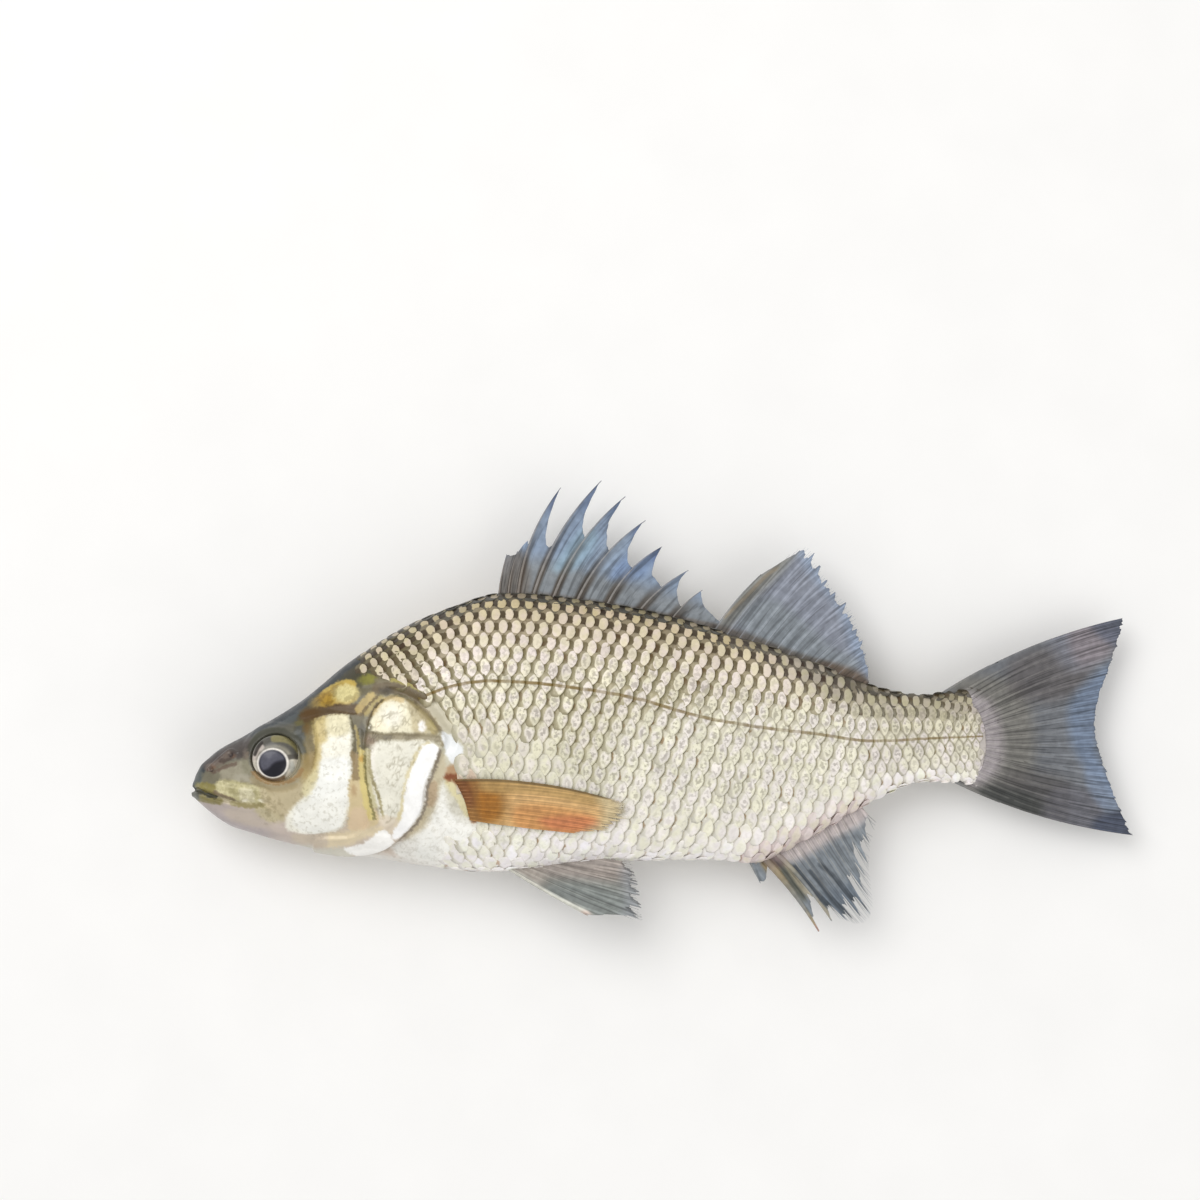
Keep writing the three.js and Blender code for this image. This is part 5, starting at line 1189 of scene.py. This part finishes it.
# Ends give each ray's root, tip, bow and radius; roots and tips begin with the share along the fan.
fins = {
    "first_dorsal": {
        "rays": 10, "spines": 10, "columns": 16, "rows": 44, "torn": 0.05, "wave": 0.25, "lies": "spread",
        "sagFrom": 44, "cuts": [0.05, 0.05, 0.7] + [0.4] * 6,
        "holds": [0.97, 0.45, 0.46, 0.6, 0.62, 0.62, 0.6, 0.5, 0.9],
        "ends": [(81.4, 43, 84.5, 56, 0.4, 0.3), (83.8, 43, 87.3, 56.6, 0.6, 0.35),
                 (86.2, 43, 99.5, 72, 2.4, 0.42), (89.6, 42.5, 110, 73, 2.5, 0.45),
                 (94.6, 41.8, 115.8, 68.5, 2.5, 0.45), (100.4, 40.6, 120.5, 62, 2.3, 0.42),
                 (107.9, 38.8, 124.2, 55, 2.1, 0.4), (115.4, 36.9, 130.5, 48.5, 1.2, 0.35),
                 (123.9, 34.6, 133.7, 43.2, 0.7, 0.3), (134.9, 31, 138.2, 35, 0, 0.15)],
        "look": "#8494aa", "rayLook": ("#8b8178", 0.75), "tipLook": ("#3f4654", 0.7), "weave": (0, 1, 0.9),
        "strokes": [
            ("area", "#858786", 0.75, 6, [(78, 42), (88, 54), (98, 53), (108, 50), (120, 45), (138, 37),
                                          (136, 31), (100, 38)]),
            ("area", "#8fa9ba", 0.75, 3, [(96, 51), (101, 58), (106, 62), (108, 58), (102, 51)]),
            ("area", "#8d9db0", 0.7, 3, [(104, 50), (109, 57), (115, 63), (116, 58), (110, 50)]),
            ("area", "#7f96bb", 0.7, 3, [(110, 48), (117, 55), (122, 55), (119, 48)]),
            ("area", "#4f5c78", 0.75, 3, [(96, 66), (98, 73), (101, 73), (99, 66)]),
            ("area", "#5b6a86", 0.7, 4, [(103, 66), (108, 74), (112, 73), (108, 66)]),
            ("area", "#53637f", 0.7, 3, [(111, 64), (115, 69.6), (117.6, 68), (114.6, 63.4)]),
            ("area", "#56678c", 0.7, 3, [(117, 58.6), (120, 63), (121.6, 61), (119.4, 57.6)]),
            ("area", "#56678c", 0.7, 3, [(121, 52), (124, 56), (125, 54.4), (123, 51)]),
            ("area", "#6b6259", 0.7, 3, [(79, 43), (83, 55), (88, 57), (90, 48), (88, 44)]),
            ("line", "#6b6158", 0.7, 1, (0.6, [(80, 45), (90, 45), (100, 43.2), (115, 39.6), (137, 33.4)])),
        ],
    },
    "second_dorsal": {
        "rays": 13, "spines": 1, "columns": 8, "rows": 40, "torn": 0.06, "wave": 0.3, "lies": "spread",
        "sagFrom": 30,
        "roots": [(0, 136, 32.5), (0.5, 153, 23.5), (1, 171, 14.5)],
        "tips": [(0, 149, 46.2), (0.09, 161, 52.6), (0.22, 164, 49), (0.36, 167, 43), (0.5, 170.2, 37.5),
                 (0.65, 172.8, 31.5), (0.8, 174.3, 25.5), (0.92, 174.8, 20.5), (1, 174.9, 16.5)],
        "bow": [(0, 0.6), (0.4, 1), (1, 0.3)], "cuts": 0.1, "holds": 0.94, "stout": 0.3,
        "look": "#8d929e", "rayLook": ("#a0a5ae", 0.4), "weave": (0.6, 0, 0.7),
        "strokes": [
            ("area", "#8f9eb4", 0.8, 4, [(158, 54), (166, 51), (176, 36), (176, 16), (171, 24), (168, 36),
                                         (161, 46)]),
            ("area", "#7b7a72", 0.8, 3, [(136, 36), (150, 49), (160, 54), (156, 48), (146, 39), (139, 33)]),
            ("area", "#8a9296", 0.7, 4, [(142, 34), (150, 40), (166, 26), (172, 22), (170, 16), (152, 26)]),
            ("line", "#a09078", 0.6, 0.5, (0.4, [(139, 36), (145, 41), (150, 45.5), (153, 47.4)])),
            ("line", "#5d544a", 0.75, 1.4, (1, [(136, 33.4), (146, 29.4), (155, 25), (163, 21.8), (168, 19.5),
                                                (175, 15)])),
            ("area", "#6a5a4c", 0.8, 2.5, [(162, 22.4), (168, 21.4), (174, 17.6), (174, 14), (162, 18)]),
        ],
    },
    "anal": {
        "rays": 12, "spines": 3, "columns": 9, "rows": 36, "torn": 0.16, "wave": 0.3, "lies": "spread",
        "sagFrom": 24,
        "cuts": [0.85, 0.3, 0.2, 0.12, 0.3, 0.2, 0.42, 0.25, 0.5, 0.3, 0.4],
        "holds": [0.2, 0.73, 0.82, 0.9, 0.73, 0.82, 0.62, 0.78, 0.55, 0.73, 0.64],
        "ends": [(140, -25, 143, -32.6, 0, 0.4), (143, -24.5, 157, -46, 0.9, 1),
                 (146, -23.5, 160.5, -43.6, 0.9, 0.8), (149, -22.5, 165, -44.6, -0.8, 0.34),
                 (151.5, -21.3, 167.6, -45.9, -0.75, 0.34), (154, -20, 169.7, -45.5, -0.7, 0.34),
                 (156.5, -18.8, 170.9, -43.3, -0.65, 0.34), (159, -17.5, 171.3, -39.4, -0.6, 0.34),
                 (161.5, -16.3, 171.3, -35, -0.55, 0.34), (164, -15.2, 171.3, -30.5, -0.5, 0.34),
                 (166.5, -14.1, 172.1, -25.2, -0.45, 0.34), (169, -13, 174, -19.6, -0.4, 0.34)],
        "look": "#858c92", "rayLook": ("#9a958b", 0.4), "weave": (0.5, 0, 0.8),
        "strokes": [
            ("area", "#cfc3c0", 0.92, 3, [(139, -24), (150, -28), (162, -23), (172, -17.4), (172, -11),
                                          (139, -18)]),
            ("area", "#565646", 0.7, 2, [(146, -28), (150, -34), (154, -38), (153, -32), (150, -28)]),
            ("area", "#69737e", 0.75, 4, [(156, -38), (162, -47), (174, -44), (173, -34), (164, -34)]),
            ("area", "#a08a62", 0.85, 1.2, [(143.4, -27), (147.6, -34), (151, -40), (155.6, -46.4),
                                            (157.4, -45.6), (153, -39), (149.6, -33), (146.6, -27)]),
            ("line", "#c2b28c", 0.7, 0.5, (0.5, [(145.5, -28.5), (148, -32.5), (150, -35.5),
                                                 (152.6, -39.4)])),
            ("line", "#b0a58c", 0.75, 0.6, (0.8, [(149.6, -27.6), (154, -35), (158, -39.6), (161, -43)])),
            ("line", "#3a4046", 0.7, 0.6, (0.6, [(152, -29), (156, -34.5), (159, -38.5), (161, -41)])),
            ("line", "#3a4046", 0.7, 0.6, (0.6, [(156, -30.5), (158.5, -34), (161, -38), (164, -41.5),
                                                 (168, -45.5)])),
            ("line", "#3a4046", 0.6, 0.6, (0.6, [(158.5, -29), (162, -32.5), (165, -37), (169, -41)])),
            ("area", "#7d6765", 0.6, 2, [(144, -25.6), (146.5, -29), (149.6, -28.4), (149, -26)]),
            ("spot", "#b3847a", 0.8, 0.6, (156.6, -45.4, 1, 1.2)),
        ],
    },
    "tail": {
        "rays": 19, "spines": 0, "columns": 8, "rows": 60, "torn": 0.012, "wave": 0.35, "lies": "overlapping",
        "sagFrom": 30,
        "roots": [(0, 191, -8.2), (0.15, 200, -8.4), (0.3, 202.6, -4.6), (0.5, 203.2, 0), (0.7, 202.6, 4.8),
                  (0.85, 200, 8.8), (1, 190, 10.6)],
        "tips": [(0, 239.6, -27.7), (0.08, 238.8, -25.6), (0.25, 235.6, -16.3), (0.4, 233, -6.6),
                 (0.5, 232, 0), (0.6, 233, 6.6), (0.75, 237, 15.8), (0.92, 240.9, 25.5), (1, 241.6, 28.2)],
        "bow": [(0, -2.4), (0.3, -0.8), (0.5, 0), (0.7, 0.8), (1, 2.6)], "cuts": 0.015,
        "holds": [0.99] * 17 + [1],
        "stout": 0.42, "look": "#74777c", "rayLook": ("#807e78", 0.3), "weave": (0.6, 0, 1),
        "strokes": [
            ("area", "#827f78", 0.85, 5, [(196, 15), (213, 13), (216, 0), (213, -12), (198, -15)]),
            ("area", "#645f5f", 0.75, 5, [(211, 19), (226, 22), (232, 14), (222, 8), (211, 11)]),
            ("area", "#7e808a", 0.75, 5, [(221, 25), (232, 28), (234, 18), (226, 16)]),
            ("area", "#8a8084", 0.75, 4, [(227, 26), (238, 27), (237, 19), (229, 17)]),
            ("area", "#5d6271", 0.8, 3, [(232, 29), (241, 29), (240, 21), (235, 23.5)]),
            ("area", "#708098", 0.8, 4, [(226, 8), (238, 17), (233, 2), (232, -6), (237, -18), (228, -9),
                                         (225, 0)]),
            ("area", "#5a5756", 0.8, 5, [(203, -15), (222, -23), (224, -13), (208, -9)]),
            ("area", "#414341", 0.85, 3, [(199, -14), (214, -23), (217, -18), (204, -12)]),
            ("area", "#636269", 0.7, 4, [(217, -22), (232, -27), (232, -17), (220, -14)]),
            ("area", "#444b5d", 0.85, 3, [(229, -28.5), (239.5, -28.5), (238.6, -21.5), (230, -23)]),
            ("area", "#7d8ca3", 0.7, 2.5, [(231, -8), (237, -20), (233, -21), (228, -11)]),
            ("area", "#b9b0b3", 0.85, 3.5, [(198, 12), (205, 9.5), (207.4, 4), (207.4, -5), (205, -9.5),
                                            (198, -12)]),
        ],
    },
}
pairedFins = {
    "pelvic": {
        "rays": 7, "spines": 1, "columns": 14, "rows": 36, "torn": 0.06, "wave": 0.3, "lies": "beside",
        "roots": [(0, 76.5, -22), (0.5, 78.5, -20.5), (1, 81.5, -19.5)],
        "tips": [(0, 98.5, -37.3), (0.16, 113, -39.8), (0.4, 112.7, -35), (0.65, 113, -31),
                 (0.85, 112.2, -28), (1, 110.8, -24.8)],
        "bow": [(0, -0.3), (0.3, -0.6), (1, 0.5)], "cuts": 0.1, "holds": 0.93, "stout": 0.34,
        "look": "#8a8b84", "rayLook": ("#a5a39b", 0.35), "weave": (0.6, 0, 0.8),
        "strokes": [
            ("area", "#ada098", 0.8, 4, [(78, -22), (112, -22), (112, -28), (90, -27)]),
            ("area", "#878e8c", 0.7, 5, [(88, -30), (108, -41), (112, -35), (94, -28)]),
            ("area", "#999ca1", 0.7, 4, [(105, -41), (115, -41), (115, -24), (108, -26), (108, -35)]),
            ("area", "#b8ada3", 0.8, 4, [(74, -18), (84, -18), (88, -28), (80, -28)]),
            ("area", "#d4d3c8", 0.9, 1, [(76, -23), (80, -24), (90, -31), (99, -36.6), (98.6, -38), (88, -34),
                                         (78, -27)]),
            ("spot", "#d9bdb0", 0.7, 0.5, (97.6, -36.8, 1.5, 0.9)),
        ],
    },
    "pectoral": {
        "rays": 12, "spines": 0, "columns": 9, "rows": 48, "torn": 0.1, "wave": 0.06, "lies": "flank",
        "roots": [(0, 67.5, 0), (0.5, 69.5, -5), (1, 70.5, -10.3)],
        "tips": [(0, 110, -9.2), (0.35, 112, -11.2), (0.65, 109.5, -14.3), (0.85, 105, -16), (1, 98, -16)],
        "bow": [(0, 2.1), (0.6, 0.9), (1, -0.2)], "cuts": 0.05, "holds": 0.96, "stout": 0.2,
        "look": "#dab077", "rayLook": ("#d8ac74", 0.15), "weave": (0.4, 0, 0.6),
        "strokes": [
            ("area", "#a87c44", 0.85, 4, [(66, 1), (79, 0), (79, -11), (69, -11)]),
            ("area", "#9a6d3a", 0.9, 3, [(66, 1), (73, 0.4), (75.5, -5), (75, -11), (70, -11), (68, -5)]),
            ("area", "#7a4a28", 0.8, 2, [(65, 1.6), (70, 0.6), (71.8, -3), (72, -7), (70.6, -7), (68, -3)]),
            ("area", "#a56a24", 0.8, 2.5, [(73, -4), (78, -4), (78, -10), (74, -10.6)]),
            ("area", "#b3935c", 0.7, 2, [(74, 0), (90, -1.6), (106, -7), (104, -9), (88, -5), (74, -3)]),
            ("area", "#d19358", 0.75, 3, [(82, -8), (100, -11), (104, -15), (98, -17), (82, -13)]),
            ("area", "#cc7f55", 0.85, 2.5, [(88, -11.6), (102, -12.4), (103, -14.8), (91, -14.4)]),
            ("area", "#cfbf98", 0.85, 4, [(103, -5), (114, -9), (113, -17), (98, -17), (104, -12)]),
            ("area", "#dcd8c6", 0.85, 3, [(108, -7), (115, -9), (114, -16), (105, -17), (109, -12)]),
            ("line", "#6e5a38", 0.8, 0.5, (0.6, [(68, 0.3), (80, -0.8), (93, -3.4), (106, -7.2)])),
        ],
    },
}
for key, fin in fins.items():
    makeBlade(f"{key}_fin", fin)
    makeRays(f"{key}_rays", fin)
for key, fin in pairedFins.items():
    for word, side in (("left", 1), ("right", -1)):
        makeBlade(f"{key}_fin_{word}", {**fin, "side": side})
        makeRays(f"{key}_rays_{word}", {**fin, "side": side})
print("fins done")


# Eyes: wet balls let into the head.
eye = {
    "long": 6.15, "high": 5.85, "deep": 2.6, "rings": 90, "spokes": 180, "sunk": 1.1, "look": "#8f8a7c",
    "strokes": [
        ("area", "#55534d", 0.95, 1, [(16.5, 9.5), (17.5, 12.5), (20, 14.2), (23, 14.8), (26.5, 13.8),
                                      (28.8, 11.5), (29, 9.2), (27, 8.8), (26, 10.5), (24, 11.8), (21.5, 12),
                                      (19, 11.2), (17.8, 9.5)]),
        ("line", "#8a8259", 0.9, 0.6, (1.2, [(22.5, 13.6), (25.2, 13.3), (27.4, 12), (28.9, 9.8)])),
        ("line", "#c9bdb4", 0.85, 0.5, (0.9, [(17.2, 8.6), (17.7, 10.4), (19.2, 11.7)])),
        ("line", "#2f2a26", 0.85, 0.4, (0.5, [(17.3, 10), (18.2, 11.6), (19.2, 12.8)])),
        ("area", "#d9d2c2", 0.9, 0.8, [(25.6, 7.9), (27.6, 8.2), (28.7, 7.8), (28.9, 6.2), (28, 4.4),
                                       (26.2, 3.2), (23, 2.6), (19.8, 3), (17.4, 5), (16.6, 8), (17.6, 8.6),
                                       (18.6, 6), (21, 3.8), (24.6, 4)]),
        ("spot", "#b4b6ae", 0.7, 0.5, (26.5, 6, 0.7, 1.6)),
        ("line", "#efe6d3", 0.85, 0.4, (0.7, [(28.5, 7.8), (28.6, 6), (27.4, 4.2), (25.6, 3.2)])),
        ("line", "#4a463f", 0.85, 0.4, (0.8, [(25.9, 8.7), (27.2, 8.7), (28.4, 8.4)])),
        ("line", "#7d644a", 0.85, 0.5, (0.7, [(17.6, 5), (19, 3.9), (21.5, 3.4), (24, 3.7)])),
        ("spot", "#6a675f", 0.5, 0.08, (21.75, 7.5, 4.4, 4.3)),
        ("spot", "#efe9df", 0.95, 0.05, (21.75, 7.45, 4.1, 3.85)),
        ("spot", "#15141d", 1.0, 0.05, (21.7, 7.4, 3.5, 3.45)),
        # a greyer patch in the pupil's upper left: a painted reflection
        ("area", "#5f5f6a", 0.85, 1.2, [(18.4, 8), (19.2, 10), (21.5, 10.6), (23.8, 9.9), (24.8, 8.3),
                                        (22.2, 7.6), (20.5, 6.2), (19, 5.9)]),
    ],
}


def makeEyeMaterial():
    material, tree, shader = newMaterial("eyeSkin", {"Coat Weight": 0.25, "Coat Roughness": 0.05,
                                                     "Roughness": 0.3, "Specular IOR Level": 0.25})
    tint = mottle(tree, attributeOf(tree, "tint", "Color"), 0.88, 1.1, 1100, 3.0)
    tree.links.new(tint, shader.inputs["Base Color"])
    return material


wetEye = makeEyeMaterial()


def makeEye(name, side, replaced):
    rings, spokes = eye["rings"], eye["spokes"]
    turn = np.linspace(0, 2 * math.pi, spokes, endpoint=False)
    down = np.linspace(0, math.pi, rings + 1)[1:-1]
    ball = np.stack([np.outer(np.sin(down), np.cos(turn)), np.outer(np.sin(down), np.sin(turn)),
                     np.outer(np.cos(down), np.ones(spokes))], axis=-1).reshape(-1, 3)
    ball = np.concatenate([ball, [(0, 0, 1), (0, 0, -1)]]) * (eye["long"], eye["high"], side * eye["deep"])
    cx, cy = head["eye"]
    points = ball + (cx, cy, middleHeight(cx) + side * (flankHeight(cx, cy) - eye["sunk"]))
    faces = facingOut(points, closedFaces(rings - 1, spokes))
    look = np.zeros((len(points), 3)) + colour(eye["look"])
    paintOver(look, points[:, 0], points[:, 1], eye["strokes"])
    mesh = makeMesh(name, toRow(points), faces, {"tint": look})
    mesh.shade_smooth()
    addPiece(name, mesh, wetEye, replaced)


makeEye("eyeball_left", 1, "eye_left")
makeEye("eyeball_right", -1, "eye_right")
print("eyes done")


# The stage, in metres and watts. A lamp is its name, place, size and power, and points at the middle.
stage = {
    "floorWide": 4, "floorHeight": -0.0002, "world": 0.62,
    "lamps": [("softbox", (-0.45, 0.55, 1.15), 0.9, 8.2), ("fill", (0.7, -0.5, 0.8), 1.2, 3.2)],
}

floorPlan = np.array([(-1, -1, 0), (1, -1, 0), (1, 1, 0), (-1, 1, 0)]) * stage["floorWide"] / 2
floorMesh = makeMesh("floor", floorPlan + (0, 0, stage["floorHeight"]), [np.array([[0, 1, 2, 3]])])
floorMaterial, floorTree, floorShader = newMaterial("paleFloor", {"Roughness": 0.6})
floorTree.links.new(blendColours(floorTree, grain(floorTree, 40), light("#f7f6f4"), light("#f1f0ee")),
                    floorShader.inputs["Base Color"])
floorMesh.materials.append(floorMaterial)
floor = bpy.data.objects.new("floor", floorMesh)
bpy.context.scene.collection.objects.link(floor)

world = bpy.data.worlds.new("daylight")
bpy.context.scene.world = world
world.use_nodes = True
backdrop = world.node_tree.nodes["Background"]
backdrop.inputs[0].default_value = light("#ffffff")
backdrop.inputs[1].default_value = stage["world"]
bpy.context.scene.view_settings.view_transform = "Standard"


def addLamp(name, place, size, power):
    data = bpy.data.lights.new(name, "AREA")
    data.size, data.energy = size, power
    lamp = bpy.data.objects.new(name, data)
    bpy.context.scene.collection.objects.link(lamp)
    lamp.location = place
    lamp.rotation_euler = (-lamp.location).to_track_quat("-Z", "Y").to_euler()


for lamp in stage["lamps"]:
    addLamp(*lamp)
print("stage done")
